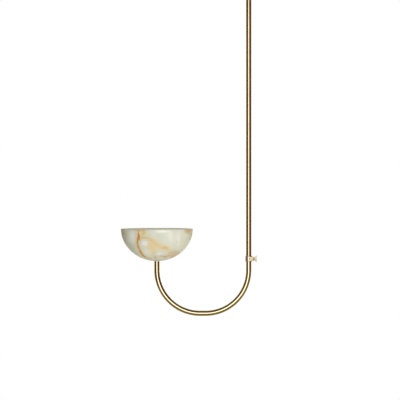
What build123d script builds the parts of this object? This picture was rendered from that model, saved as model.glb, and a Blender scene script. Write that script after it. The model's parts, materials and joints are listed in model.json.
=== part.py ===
from build123d import *
import os
from math import sqrt

# Pendant light with an alabaster bowl, in millimetres, +Z up.
# A bracket and a canopy at the ceiling carry a straight brass rod. A J-shaped arm swivels under the rod
# and carries the bowl, which opens upwards. A wing screw in the arm's collar locks the swivel.
# The origin is on the ceiling plane at the rod's axis. The arm reaches towards -X.

# Clearances, each on the radius or on one side
RUNNING_CLEARANCE = 0.05
BRAZE_CLEARANCE = 0.05
FLEX_CLEARANCE = 0.2
HOLE_CLEARANCE = 0.25
FACE_GAP = 0.1

# Across the tubes, from the flex outwards
FLEX_DIAMETER = 4.2
THREAD_WALL = 1.7
INSERT_WALL = 1.25
TUBE_WALL = 1.15

# Rod and arm, along the tube's centre line
ROD_LENGTH = 700.0
ARM_LEG = 32.0
BEND_RADIUS = 109.0
BEND_STRAIGHT = 14.0
BOWL_LEG = 22.3
INSERT_LENGTH = 16.0
THREAD_ENGAGEMENT = 13.0

# Nuts and washers
NUT_ACROSS_FLATS = 13.0
NUT_HEIGHT = 4.0
NIPPLE_PROUD = 1.5
LOCK_WASHER_DIAMETER = 15.0
LOCK_WASHER_THICKNESS = 1.0

# Ceiling bracket
BRACKET_WIDTH = 24.0
BRACKET_THICKNESS = 2.0
BRACKET_DROP = 22.0
BRACKET_BEND = 2.5
BRIDGE_MARGIN = 3.0
FOOT_LENGTH = 24.0
SLOT_LENGTH = 16.0
SLOT_WIDTH = 4.5

# Terminal block and its cores
TERMINAL_GAP = 2.5
TERMINAL_LENGTH = 14.0
TERMINAL_HEIGHT = 10.0
TERMINAL_PITCH = 7.5
TERMINAL_ROUND = 1.0
TERMINAL_POLES = 3
PORT_SPACING = 7.0
PORT_DIAMETER = 3.0
PORT_DEPTH = 6.5
TERMINAL_SCREW_DIAMETER = 2.4
TERMINAL_SCREW_HEIGHT = 4.0
CORE_DIAMETER = 1.3
CORE_RISE = 1.0
CORE_ENTRY = 2.0

# Earth screw
EARTH_SCREW_DIAMETER = 4.0
EARTH_HEAD_DIAMETER = 8.0
EARTH_HEAD_HEIGHT = 2.6
EARTH_SCREW_BELOW = 3.0

# Canopy and the ring that holds it up
CANOPY_SIDE_ROOM = 5.4
CANOPY_BELOW_BRIDGE = 14.0
CANOPY_WALL = 1.2
CANOPY_ROUND = 10.0
CEILING_GAP = 0.5
STOP_RING_WALL = 3.6
STOP_RING_HEIGHT = 8.0
STOP_RING_ROUND = 1.0
GRUB_SCREW_DIAMETER = 3.0
GRUB_SOCKET = 1.5
GRUB_SOCKET_DEPTH = 1.5
GRUB_SUNK = 0.3

# Swivel
JOINT_GAP = 0.3
BUSH_LENGTH = 18.0
SPINDLE_HEAD_THICKNESS = 2.5
THRUST_WASHER_THICKNESS = 0.8
GROOVE_DEPTH = 1.0
STOP_LAND_ANGLE = 24.0

# Collar and its screw block
COLLAR_WALL = 1.6
COLLAR_HEIGHT = 15.0
COLLAR_ROUND = 1.2
COLLAR_OVER_ROD = 4.0
BLOCK_INSET = 0.7
BLOCK_HEIGHT = 10.4
BLOCK_LENGTH = 4.6
BLOCK_CORNER = 1.5
BLOCK_EDGE = 0.6

# Lock pad and wing screw
PAD_TIP_DIAMETER = 1.8
PAD_LENGTH = 2.0
PAD_SHOULDER_GAP = 0.3
SCREW_DIAMETER = 4.0
SCREW_HEAD_GAP = 0.6
NECK_DIAMETER = 7.0
NECK_TIP_DIAMETER = 6.6
NECK_LENGTH = 3.0
WING_SETBACK = 0.6
WING_LENGTH = 7.2
WING_ROOT_HEIGHT = 8.8
WING_SPAN = 15.4
WING_CORNER = 1.4
WING_NOTCH_DEPTH = 1.5
WING_NOTCH_RADIUS = 11.0
WING_THICKNESS = 2.6
WING_ROUND = 0.8

# Bowl
BOWL_DIAMETER = 182.0
BOWL_DEPTH = 82.4
BOWL_WALL = 9.0
BOWL_FLOOR = 11.0
BOWL_RIM_ROUND = 2.0
SEAT_MARGIN = 0.6
SEAT_WASHER_THICKNESS = 0.8

# Clamping stack inside the bowl
CLAMP_PLATE_DIAMETER = 34.0
CLAMP_PLATE_THICKNESS = 1.5
CLAMP_PLATE_CHAMFER = 0.5
CUSHION_THICKNESS = 1.5
CUSHION_MARGIN = 1.0

# Lampholder
STRAP_WIDTH = 11.0
STRAP_THICKNESS = 1.2
STRAP_BEND = 1.6
STRAP_EAR = 8.0
HOLDER_GAP = 3.0
HOLDER_DIAMETER = 23.0
HOLDER_FLATS = 18.0
HOLDER_HEIGHT = 18.0
HOLDER_CHAMFER = 1.0
HOLDER_SCREW_DIAMETER = 3.0
HOLDER_SCREW_DEPTH = 2.6
HOLDER_SCREW_RISE = 4.0
HOLDER_HEAD_DIAMETER = 5.5
HOLDER_HEAD_HEIGHT = 1.8
FLEX_RECESS = 2.2
CONTACT_DIAMETER = 3.4
CONTACT_LENGTH = 6.5
CONTACT_ROOM = 0.5

# Lamp
PIN_SPACING = 9.0
PIN_DIAMETER = 1.0
PIN_LENGTH = 6.0
LAMP_STEM_LENGTH = 15.0
LAMP_STEM_WIDTH = 8.0
LAMP_STEM_HEIGHT = 9.0
HOLDER_POCKET_DEPTH = 8.0
LAMP_FLANGE_HEIGHT = 3.0
GLASS_DIAMETER = 16.0
GLASS_WALL = 1.0
GLASS_HEIGHT = 28.0
GLASS_ROUND = 7.0
BOARD_WIDTH = 9.0
BOARD_HEIGHT = 20.0
BOARD_THICKNESS = 1.0

# Diameters that follow
FLEX_BORE = FLEX_DIAMETER + 2 * FLEX_CLEARANCE
THREAD_DIAMETER = FLEX_BORE + 2 * THREAD_WALL
INSERT_BORE = THREAD_DIAMETER + 2 * RUNNING_CLEARANCE
INSERT_DIAMETER = INSERT_BORE + 2 * INSERT_WALL
TUBE_BORE = INSERT_DIAMETER + 2 * BRAZE_CLEARANCE
TUBE_DIAMETER = TUBE_BORE + 2 * TUBE_WALL
SLIDING_BORE = TUBE_DIAMETER + 2 * RUNNING_CLEARANCE
THREAD_HOLE = THREAD_DIAMETER + 2 * HOLE_CLEARANCE
COLLAR_DIAMETER = SLIDING_BORE + 2 * COLLAR_WALL
STOP_RING_DIAMETER = SLIDING_BORE + 2 * STOP_RING_WALL
SPINDLE_HEAD_DIAMETER = TUBE_BORE - 2 * HOLE_CLEARANCE
PAD_TIP_HOLE = PAD_TIP_DIAMETER + 2 * FACE_GAP
SCREW_BORE = SCREW_DIAMETER + 2 * RUNNING_CLEARANCE
PAD_DIAMETER = SCREW_BORE - 2 * FACE_GAP
BLOCK_WIDTH = COLLAR_DIAMETER - 2 * BLOCK_INSET

# Along the bracket
TERMINAL_X = NUT_ACROSS_FLATS / 2 + TERMINAL_GAP + TERMINAL_LENGTH / 2
TERMINAL_WIDTH = TERMINAL_POLES * TERMINAL_PITCH
BRIDGE_LENGTH = 2 * (TERMINAL_X + TERMINAL_LENGTH / 2 + BRIDGE_MARGIN + BRACKET_THICKNESS)
BRACKET_LENGTH = BRIDGE_LENGTH + 2 * FOOT_LENGTH
SLOT_SPACING = BRIDGE_LENGTH + FOOT_LENGTH
CANOPY_DIAMETER = sqrt(BRACKET_LENGTH**2 + BRACKET_WIDTH**2) + 2 * (CANOPY_SIDE_ROOM + CANOPY_WALL)

# Heights, from the ceiling down
BRIDGE_TOP = BRACKET_THICKNESS - BRACKET_DROP
ROD_NUT_BOTTOM = BRIDGE_TOP + LOCK_WASHER_THICKNESS
ROD_NIPPLE_TOP = ROD_NUT_BOTTOM + NUT_HEIGHT + NIPPLE_PROUD
CANOPY_TOP = -CEILING_GAP
CANOPY_BOTTOM = -BRACKET_DROP - CANOPY_BELOW_BRIDGE - CEILING_GAP
STOP_RING_BOTTOM = CANOPY_BOTTOM - STOP_RING_HEIGHT
ROD_TOP = -BRACKET_DROP
ROD_BOTTOM = ROD_TOP - ROD_LENGTH
ARM_TOP = ROD_BOTTOM - JOINT_GAP
COLLAR_TOP = ROD_BOTTOM + COLLAR_OVER_ROD
COLLAR_BOTTOM = COLLAR_TOP - COLLAR_HEIGHT
SCREW_Z = (COLLAR_TOP + COLLAR_BOTTOM) / 2
BUSH_BOTTOM = ARM_TOP - BUSH_LENGTH
SPINDLE_HEAD_TOP = BUSH_BOTTOM - FACE_GAP - THRUST_WASHER_THICKNESS
SPINDLE_BOTTOM = SPINDLE_HEAD_TOP - SPINDLE_HEAD_THICKNESS
BEND_START = ARM_TOP - ARM_LEG
ARM_BOTTOM = BEND_START - BEND_RADIUS

# Heights at the bowl, from the arm's end up
BOWL_X = -2 * BEND_RADIUS - BEND_STRAIGHT
ARM_END = BEND_START + BOWL_LEG
BOWL_SEAT = ARM_END + SEAT_WASHER_THICKNESS
BOWL_SEAT_DIAMETER = TUBE_DIAMETER + 2 * SEAT_MARGIN
BOWL_SEAT_CUT = BOWL_DEPTH * (1 - sqrt(1 - (BOWL_SEAT_DIAMETER / BOWL_DIAMETER) ** 2))
BOWL_BOTTOM = BOWL_SEAT - BOWL_SEAT_CUT
BOWL_RIM = BOWL_BOTTOM + BOWL_DEPTH
BOWL_INSIDE = BOWL_BOTTOM + BOWL_FLOOR
PLATE_BOTTOM = BOWL_INSIDE + CUSHION_THICKNESS
STRAP_BOTTOM = PLATE_BOTTOM + CLAMP_PLATE_THICKNESS
BOWL_NUT_BOTTOM = STRAP_BOTTOM + STRAP_THICKNESS
BOWL_NIPPLE_TOP = BOWL_NUT_BOTTOM + NUT_HEIGHT + NIPPLE_PROUD
HOLDER_BOTTOM = BOWL_NIPPLE_TOP + HOLDER_GAP
HOLDER_TOP = HOLDER_BOTTOM + HOLDER_HEIGHT
HOLDER_SCREW_Z = HOLDER_BOTTOM + HOLDER_SCREW_RISE
POCKET_FLOOR = HOLDER_TOP - HOLDER_POCKET_DEPTH
CONTACT_BOTTOM = POCKET_FLOOR - CONTACT_ROOM - CONTACT_LENGTH
LAMP_FLANGE_BOTTOM = POCKET_FLOOR + LAMP_STEM_HEIGHT
GLASS_BOTTOM = LAMP_FLANGE_BOTTOM + LAMP_FLANGE_HEIGHT

# Along the wing screw, from the rod's axis outwards
PAD_TIP_X = THREAD_DIAMETER / 2 - GROOVE_DEPTH + FACE_GAP
PAD_SHOULDER_X = TUBE_DIAMETER / 2 + PAD_SHOULDER_GAP
PAD_BACK_X = PAD_SHOULDER_X + PAD_LENGTH
BLOCK_END_X = COLLAR_DIAMETER / 2 + BLOCK_LENGTH
NECK_X = BLOCK_END_X + SCREW_HEAD_GAP
WING_ROOT_X = NECK_X + WING_SETBACK
WING_TIP_X = WING_ROOT_X + WING_LENGTH


def ring(diameter, bore, bottom, top, x=0.0):
    """A plain round ring on an upright axis."""
    section = Circle(diameter / 2) - Circle(bore / 2)
    return Pos(x, 0, bottom) * extrude(section, top - bottom)


def rod(diameter, bottom, top, x=0.0, y=0.0):
    """A plain upright round rod, also used as a cutter."""
    return Pos(x, y, bottom) * extrude(Circle(diameter / 2), top - bottom)


def rod_along(axis, diameter, start, end, x=0.0, y=0.0, z=0.0):
    """A round rod that runs from start to end along the given direction from a point."""
    plane = Plane(origin=(x, y, z), z_dir=axis)
    return plane.offset(start) * extrude(Circle(diameter / 2), end - start)


def hex_nut(bottom, x=0.0):
    """A hex nut of the common size on an upright nipple."""
    section = RegularPolygon(NUT_ACROSS_FLATS / 2, 6, major_radius=False) - Circle(INSERT_BORE / 2)
    return Pos(x, 0, bottom) * extrude(section, NUT_HEIGHT)


def cup(radius, open_end, closed_end, rounding, x=0.0):
    """A solid of revolution with one rounded end, for the outside or the inside of a round cup."""
    outline = FilletPolyline(
        (0, closed_end), (radius, closed_end), (radius, open_end), (0, open_end), radius=[rounding, 0]
    )
    face = make_face(outline + Line((0, open_end), (0, closed_end)))
    return Pos(x, 0, 0) * revolve(Plane.XZ * face, Axis.Z)


def bent_strip(points, bend, thickness, plane, width):
    """A strip of sheet metal bent along a line of points and centred across the plane."""
    section = trace(FilletPolyline(*points, radius=bend), line_width=thickness)
    return extrude(plane * section, width / 2, both=True)


def sweep_round(path, diameter, bore=0.0):
    """A round tube, or a solid round cord, along a path."""
    section = Circle(diameter / 2)
    if bore:
        section -= Circle(bore / 2)
    return sweep(Plane(origin=path @ 0, z_dir=path % 0) * section, path)


def arm_path(top, end):
    """The centre line of the arm between two heights on its two legs."""
    corners = [(0, 0, top), (0, 0, ARM_BOTTOM), (BOWL_X, 0, ARM_BOTTOM), (BOWL_X, 0, end)]
    return FilletPolyline(*corners, radius=BEND_RADIUS)


def port_places():
    """Sideways places of the poles along the terminal block."""
    return [(pole - (TERMINAL_POLES - 1) / 2) * TERMINAL_PITCH for pole in range(TERMINAL_POLES)]


# Ceiling end

def ceiling_bracket():
    foot = BRACKET_LENGTH / 2
    leg = (BRIDGE_LENGTH - BRACKET_THICKNESS) / 2
    high = -BRACKET_THICKNESS / 2
    low = BRACKET_THICKNESS / 2 - BRACKET_DROP
    points = [(-foot, high), (-leg, high), (-leg, low), (leg, low), (leg, high), (foot, high)]
    strip = bent_strip(points, BRACKET_BEND, BRACKET_THICKNESS, Plane.XZ, BRACKET_WIDTH)
    slots = Locations((-SLOT_SPACING / 2, 0), (SLOT_SPACING / 2, 0))
    for place in slots:
        strip -= place * extrude(SlotOverall(SLOT_LENGTH, SLOT_WIDTH), -BRACKET_THICKNESS)
    strip -= rod(THREAD_HOLE, -BRACKET_DROP, BRIDGE_TOP)
    strip -= rod(EARTH_SCREW_DIAMETER + 2 * RUNNING_CLEARANCE, -BRACKET_DROP, BRIDGE_TOP, -TERMINAL_X)
    return strip


def rod_nipple():
    return ring(THREAD_DIAMETER, FLEX_BORE, ROD_TOP - THREAD_ENGAGEMENT, ROD_NIPPLE_TOP)


def nipple_washer():
    return ring(LOCK_WASHER_DIAMETER, THREAD_HOLE, BRIDGE_TOP, ROD_NUT_BOTTOM)


def nipple_nut():
    return hex_nut(ROD_NUT_BOTTOM)


def terminal_block():
    size = Box(TERMINAL_LENGTH, TERMINAL_WIDTH, TERMINAL_HEIGHT)
    block = Pos(TERMINAL_X, 0, BRIDGE_TOP + TERMINAL_HEIGHT / 2) * fillet(
        size.edges().filter_by(Axis.Z), TERMINAL_ROUND
    )
    top = BRIDGE_TOP + TERMINAL_HEIGHT
    bore = TERMINAL_SCREW_DIAMETER + 2 * RUNNING_CLEARANCE
    for y in port_places():
        for side in (-1, 1):
            port_x = TERMINAL_X + side * PORT_SPACING / 2
            block -= rod(PORT_DIAMETER, top - PORT_DEPTH, top, port_x, y)
            reach = (TERMINAL_LENGTH - PORT_SPACING) / 2
            block -= rod_along(
                (side, 0, 0), bore, 0, reach, port_x, y, BRIDGE_TOP + TERMINAL_SCREW_HEIGHT
            )
    return block


def terminal_screws():
    screws = []
    reach = (TERMINAL_LENGTH - PORT_SPACING) / 2
    for y in port_places():
        for side in (-1, 1):
            port_x = TERMINAL_X + side * PORT_SPACING / 2
            screws.append(
                rod_along(
                    (side, 0, 0),
                    TERMINAL_SCREW_DIAMETER,
                    CORE_DIAMETER / 2 + FACE_GAP,
                    reach - GRUB_SUNK,
                    port_x,
                    y,
                    BRIDGE_TOP + TERMINAL_SCREW_HEIGHT,
                )
            )
    return Compound(children=screws)


def earth_screw():
    head = rod(EARTH_HEAD_DIAMETER, BRIDGE_TOP, BRIDGE_TOP + EARTH_HEAD_HEIGHT, -TERMINAL_X)
    return head + rod(EARTH_SCREW_DIAMETER, -BRACKET_DROP - EARTH_SCREW_BELOW, BRIDGE_TOP, -TERMINAL_X)


def supply_cores():
    cores = []
    port_x = TERMINAL_X - PORT_SPACING / 2
    for y in port_places():
        start_y = y / TERMINAL_PITCH * CORE_DIAMETER
        across = Vector(port_x, y - start_y, 0)
        plane = Plane(
            origin=(0, start_y, ROD_NIPPLE_TOP), x_dir=across, z_dir=across.cross(Vector(0, 0, 1))
        )
        span = across.length
        up = Line((0, 0), (0, CORE_RISE))
        over = ThreePointArc((0, CORE_RISE), (span / 2, CORE_RISE + span / 2), (span, CORE_RISE))
        down = Line((span, CORE_RISE), (span, CORE_RISE - CORE_ENTRY))
        cores.append(sweep_round(plane * (up + over + down), CORE_DIAMETER))
    return Compound(children=cores)


def canopy():
    radius = CANOPY_DIAMETER / 2
    shell = cup(radius, CANOPY_TOP, CANOPY_BOTTOM, CANOPY_ROUND)
    shell -= cup(
        radius - CANOPY_WALL, CANOPY_TOP, CANOPY_BOTTOM + CANOPY_WALL, CANOPY_ROUND - CANOPY_WALL
    )
    return shell - rod(TUBE_DIAMETER + 2 * HOLE_CLEARANCE, CANOPY_BOTTOM, CANOPY_TOP)


def canopy_stop_ring():
    body = ring(STOP_RING_DIAMETER, SLIDING_BORE, STOP_RING_BOTTOM, CANOPY_BOTTOM)
    outer_edges = body.edges().filter_by(GeomType.CIRCLE).sort_by(SortBy.RADIUS)[-2:]
    body = fillet(outer_edges, STOP_RING_ROUND)
    middle = (STOP_RING_BOTTOM + CANOPY_BOTTOM) / 2
    bore = GRUB_SCREW_DIAMETER + 2 * RUNNING_CLEARANCE
    return body - rod_along((1, 0, 0), bore, 0, STOP_RING_DIAMETER, z=middle)


def stop_ring_screw():
    middle = (STOP_RING_BOTTOM + CANOPY_BOTTOM) / 2
    inner = TUBE_DIAMETER / 2 + FACE_GAP
    outer = STOP_RING_DIAMETER / 2 - GRUB_SUNK
    screw = rod_along((1, 0, 0), GRUB_SCREW_DIAMETER, inner, outer, z=middle)
    socket_plane = Plane(origin=(outer, 0, middle), z_dir=(1, 0, 0))
    socket = RegularPolygon(GRUB_SOCKET / 2, 6, major_radius=False)
    return screw - extrude(socket_plane * socket, -GRUB_SOCKET_DEPTH)


# Rod and swivel

def drop_rod():
    return ring(TUBE_DIAMETER, TUBE_BORE, ROD_BOTTOM, ROD_TOP)


def rod_top_insert():
    return ring(INSERT_DIAMETER, INSERT_BORE, ROD_TOP - INSERT_LENGTH, ROD_TOP)


def rod_end_insert():
    return ring(INSERT_DIAMETER, INSERT_BORE, ROD_BOTTOM, ROD_BOTTOM + INSERT_LENGTH)


def rod_flex():
    return rod(FLEX_DIAMETER, SPINDLE_BOTTOM, ROD_NIPPLE_TOP)


def swivel_spindle():
    shaft = ring(THREAD_DIAMETER, FLEX_BORE, SPINDLE_BOTTOM, ROD_BOTTOM + THREAD_ENGAGEMENT)
    shaft += ring(SPINDLE_HEAD_DIAMETER, FLEX_BORE, SPINDLE_BOTTOM, SPINDLE_HEAD_TOP)
    # The groove stops short of a full turn, and the land that is left limits the swivel.
    width = PAD_TIP_DIAMETER + 2 * HOLE_CLEARANCE
    groove = Cylinder(TUBE_BORE / 2, width, arc_size=360 - STOP_LAND_ANGLE)
    groove -= Cylinder(THREAD_DIAMETER / 2 - GROOVE_DEPTH, width)
    return shaft - Pos(0, 0, SCREW_Z) * Rot(0, 0, 180 + STOP_LAND_ANGLE / 2) * groove


def thrust_washer():
    top = SPINDLE_HEAD_TOP + THRUST_WASHER_THICKNESS
    return ring(SPINDLE_HEAD_DIAMETER, INSERT_BORE, SPINDLE_HEAD_TOP, top)


def swivel_bush():
    bush = ring(INSERT_DIAMETER, INSERT_BORE, BUSH_BOTTOM, ARM_TOP)
    return bush - rod_along((1, 0, 0), PAD_TIP_HOLE, 0, INSERT_DIAMETER, z=SCREW_Z)


def clamp_collar():
    collar = rod(COLLAR_DIAMETER, COLLAR_BOTTOM, COLLAR_TOP)
    collar = fillet(collar.edges().filter_by(GeomType.CIRCLE), COLLAR_ROUND)
    plan = Pos(BLOCK_END_X / 2, 0) * Rectangle(BLOCK_END_X, BLOCK_WIDTH)
    plan = fillet(plan.vertices().sort_by(Axis.X)[-2:], BLOCK_CORNER)
    block = Pos(0, 0, SCREW_Z) * extrude(plan, BLOCK_HEIGHT / 2, both=True)
    block = fillet(block.faces().filter_by(Axis.Z).edges(), BLOCK_EDGE)
    collar = collar + block - rod(SLIDING_BORE, COLLAR_BOTTOM, COLLAR_TOP)
    return collar - rod_along((1, 0, 0), SCREW_BORE, 0, BLOCK_END_X, z=SCREW_Z)


def lock_pad():
    tip = rod_along((1, 0, 0), PAD_TIP_DIAMETER, PAD_TIP_X, PAD_SHOULDER_X, z=SCREW_Z)
    return tip + rod_along((1, 0, 0), PAD_DIAMETER, PAD_SHOULDER_X, PAD_BACK_X, z=SCREW_Z)


def wing_outline():
    """A fish-tail: a plate that widens from its root to two round tips, with a shallow bay between them."""
    corners = []
    for x, height in ((WING_ROOT_X + WING_CORNER, WING_ROOT_HEIGHT), (WING_TIP_X - WING_CORNER, WING_SPAN)):
        for side in (-1, 1):
            corners += (Pos(x, side * (height / 2 - WING_CORNER)) * Circle(WING_CORNER)).edges()
    bay = Pos(WING_TIP_X - WING_NOTCH_DEPTH + WING_NOTCH_RADIUS, 0) * Circle(WING_NOTCH_RADIUS)
    return make_hull(corners) - bay


def thumb_screw():
    screw = rod_along((1, 0, 0), SCREW_DIAMETER, PAD_BACK_X, NECK_X, z=SCREW_Z)
    axis = Plane(origin=(NECK_X, 0, SCREW_Z), z_dir=(1, 0, 0))
    foot = axis * Circle(NECK_DIAMETER / 2)
    tip = axis.offset(NECK_LENGTH) * Circle(NECK_TIP_DIAMETER / 2)
    upright = Plane(origin=(0, 0, SCREW_Z), x_dir=(1, 0, 0), z_dir=(0, -1, 0))
    wings = extrude(upright * wing_outline(), WING_THICKNESS / 2, both=True)
    broad_faces = wings.faces().filter_by(Axis.Y)
    return screw + loft([foot, tip]) + fillet(broad_faces.edges(), WING_ROUND)


# Arm

def arm_tube():
    tube = sweep_round(arm_path(ARM_TOP, ARM_END), TUBE_DIAMETER, TUBE_BORE)
    return tube - rod_along((1, 0, 0), PAD_TIP_HOLE, 0, TUBE_DIAMETER, z=SCREW_Z)


def arm_end_insert():
    return ring(INSERT_DIAMETER, INSERT_BORE, ARM_END - INSERT_LENGTH, ARM_END, BOWL_X)


def arm_flex():
    return sweep_round(arm_path(SPINDLE_BOTTOM, HOLDER_BOTTOM + FLEX_RECESS), FLEX_DIAMETER)


# Bowl and its clamping stack

def bowl_profile(radius, depth):
    """Quarter of an ellipse from the bowl's axis up to its rim."""
    return EllipticalCenterArc((0, BOWL_RIM), radius, depth, 270, arc_size=90)


def bowl():
    outside = bowl_profile(BOWL_DIAMETER / 2, BOWL_DEPTH)
    inside = bowl_profile(BOWL_DIAMETER / 2 - BOWL_WALL, BOWL_DEPTH - BOWL_FLOOR)
    rim = Line(outside @ 1, inside @ 1)
    axis_line = Line(outside @ 0, inside @ 0)
    stone = revolve(Plane.XZ * make_face(outside + rim + inside + axis_line), Axis.Z)
    rim_edges = stone.edges().filter_by_position(Axis.Z, BOWL_RIM, BOWL_RIM)
    stone = fillet(rim_edges, BOWL_RIM_ROUND)
    # Flat seats for the tube's end below and for the clamping plate inside, and the nipple's hole.
    stone -= rod(BOWL_SEAT_DIAMETER, BOWL_BOTTOM - BOWL_SEAT_CUT, BOWL_SEAT)
    stone -= rod(CLAMP_PLATE_DIAMETER + 2 * CUSHION_MARGIN, BOWL_INSIDE, BOWL_RIM)
    stone -= rod(THREAD_HOLE, BOWL_SEAT, BOWL_INSIDE)
    return Pos(BOWL_X, 0, 0) * stone


def bowl_seat_washer():
    return ring(TUBE_DIAMETER, THREAD_HOLE, ARM_END, BOWL_SEAT, BOWL_X)


def bowl_nipple():
    return ring(THREAD_DIAMETER, FLEX_BORE, ARM_END - THREAD_ENGAGEMENT, BOWL_NIPPLE_TOP, BOWL_X)


def bowl_cushion_washer():
    return ring(CLAMP_PLATE_DIAMETER, THREAD_HOLE, BOWL_INSIDE, PLATE_BOTTOM, BOWL_X)


def bowl_clamp_plate():
    plate = ring(CLAMP_PLATE_DIAMETER, THREAD_HOLE, PLATE_BOTTOM, STRAP_BOTTOM, BOWL_X)
    top_edges = plate.edges().filter_by(GeomType.CIRCLE).group_by(Axis.Z)[-1]
    return chamfer(top_edges.sort_by(SortBy.RADIUS)[-1], CLAMP_PLATE_CHAMFER)


def bowl_nut():
    return hex_nut(BOWL_NUT_BOTTOM, BOWL_X)


# Lampholder and lamp

def holder_screw_places():
    """The side of the holder, and the direction out of it, for each of its two screws."""
    return [((0, side, 0), HOLDER_FLATS / 2) for side in (-1, 1)]


def lampholder_bracket():
    ear = (HOLDER_FLATS + STRAP_THICKNESS) / 2
    low = STRAP_BOTTOM + STRAP_THICKNESS / 2
    high = HOLDER_BOTTOM + STRAP_EAR
    points = [(-ear, high), (-ear, low), (ear, low), (ear, high)]
    strap = Pos(BOWL_X, 0, 0) * bent_strip(points, STRAP_BEND, STRAP_THICKNESS, Plane.YZ, STRAP_WIDTH)
    strap -= rod(THREAD_HOLE, STRAP_BOTTOM, BOWL_NUT_BOTTOM, BOWL_X)
    bore = HOLDER_SCREW_DIAMETER + 2 * RUNNING_CLEARANCE
    for direction, flat in holder_screw_places():
        strap -= rod_along(direction, bore, flat, flat + STRAP_THICKNESS, BOWL_X, 0, HOLDER_SCREW_Z)
    return strap


def lampholder_body():
    section = Circle(HOLDER_DIAMETER / 2) & Rectangle(HOLDER_DIAMETER, HOLDER_FLATS)
    body = extrude(section, HOLDER_HEIGHT)
    body = chamfer(body.faces().sort_by(Axis.Z)[-1].edges(), HOLDER_CHAMFER)
    body = Pos(BOWL_X, 0, HOLDER_BOTTOM) * body
    pocket = SlotOverall(LAMP_STEM_LENGTH + 2 * FACE_GAP, LAMP_STEM_WIDTH + 2 * FACE_GAP)
    body -= Pos(BOWL_X, 0, POCKET_FLOOR) * extrude(pocket, HOLDER_POCKET_DEPTH)
    for side in (-1, 1):
        x = BOWL_X + side * PIN_SPACING / 2
        body -= rod(CONTACT_DIAMETER + 2 * FACE_GAP, CONTACT_BOTTOM, POCKET_FLOOR, x)
    body -= rod(FLEX_BORE, HOLDER_BOTTOM, HOLDER_BOTTOM + FLEX_RECESS, BOWL_X)
    bore = HOLDER_SCREW_DIAMETER + 2 * RUNNING_CLEARANCE
    for direction, flat in holder_screw_places():
        body -= rod_along(direction, bore, flat - HOLDER_SCREW_DEPTH, flat, BOWL_X, 0, HOLDER_SCREW_Z)
    return body


def lampholder_screws():
    screws = []
    for direction, flat in holder_screw_places():
        face = flat + STRAP_THICKNESS
        start = flat - HOLDER_SCREW_DEPTH + FACE_GAP
        screw = rod_along(direction, HOLDER_SCREW_DIAMETER, start, face, BOWL_X, 0, HOLDER_SCREW_Z)
        screw += rod_along(
            direction, HOLDER_HEAD_DIAMETER, face, face + HOLDER_HEAD_HEIGHT, BOWL_X, 0, HOLDER_SCREW_Z
        )
        screws.append(screw)
    return Compound(children=screws)


def lampholder_contacts():
    bore = PIN_DIAMETER + 2 * RUNNING_CLEARANCE
    top = CONTACT_BOTTOM + CONTACT_LENGTH
    places = [BOWL_X + side * PIN_SPACING / 2 for side in (-1, 1)]
    return Compound(children=[ring(CONTACT_DIAMETER, bore, CONTACT_BOTTOM, top, x) for x in places])


def lamp_pins():
    places = [BOWL_X + side * PIN_SPACING / 2 for side in (-1, 1)]
    return Compound(children=[rod(PIN_DIAMETER, POCKET_FLOOR - PIN_LENGTH, POCKET_FLOOR, x) for x in places])


def lamp_base():
    stem = extrude(SlotOverall(LAMP_STEM_LENGTH, LAMP_STEM_WIDTH), LAMP_STEM_HEIGHT)
    base = Pos(BOWL_X, 0, POCKET_FLOOR) * stem
    return base + rod(GLASS_DIAMETER, LAMP_FLANGE_BOTTOM, GLASS_BOTTOM, BOWL_X)


def lamp_board():
    place = Pos(BOWL_X, 0, GLASS_BOTTOM + BOARD_HEIGHT / 2)
    return place * Box(BOARD_WIDTH, BOARD_THICKNESS, BOARD_HEIGHT)


def lamp_glass():
    top = GLASS_BOTTOM + GLASS_HEIGHT
    glass = cup(GLASS_DIAMETER / 2, GLASS_BOTTOM, top, GLASS_ROUND, BOWL_X)
    return glass - cup(
        GLASS_DIAMETER / 2 - GLASS_WALL, GLASS_BOTTOM, top - GLASS_WALL, GLASS_ROUND - GLASS_WALL, BOWL_X
    )


PIECES = [
    ceiling_bracket,
    rod_nipple,
    nipple_washer,
    nipple_nut,
    terminal_block,
    terminal_screws,
    earth_screw,
    supply_cores,
    canopy,
    canopy_stop_ring,
    stop_ring_screw,
    drop_rod,
    rod_top_insert,
    rod_end_insert,
    rod_flex,
    swivel_spindle,
    thrust_washer,
    swivel_bush,
    clamp_collar,
    lock_pad,
    thumb_screw,
    arm_tube,
    arm_end_insert,
    arm_flex,
    bowl,
    bowl_seat_washer,
    bowl_nipple,
    bowl_cushion_washer,
    bowl_clamp_plate,
    bowl_nut,
    lampholder_bracket,
    lampholder_body,
    lampholder_screws,
    lampholder_contacts,
    lamp_pins,
    lamp_base,
    lamp_board,
    lamp_glass,
]

os.makedirs("parts", exist_ok=True)
for piece in PIECES:
    export_step(piece(), f"parts/{piece.__name__}.step")
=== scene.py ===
import json
import math

import bmesh
import bpy
from mathutils import Matrix, Vector, noise


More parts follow.
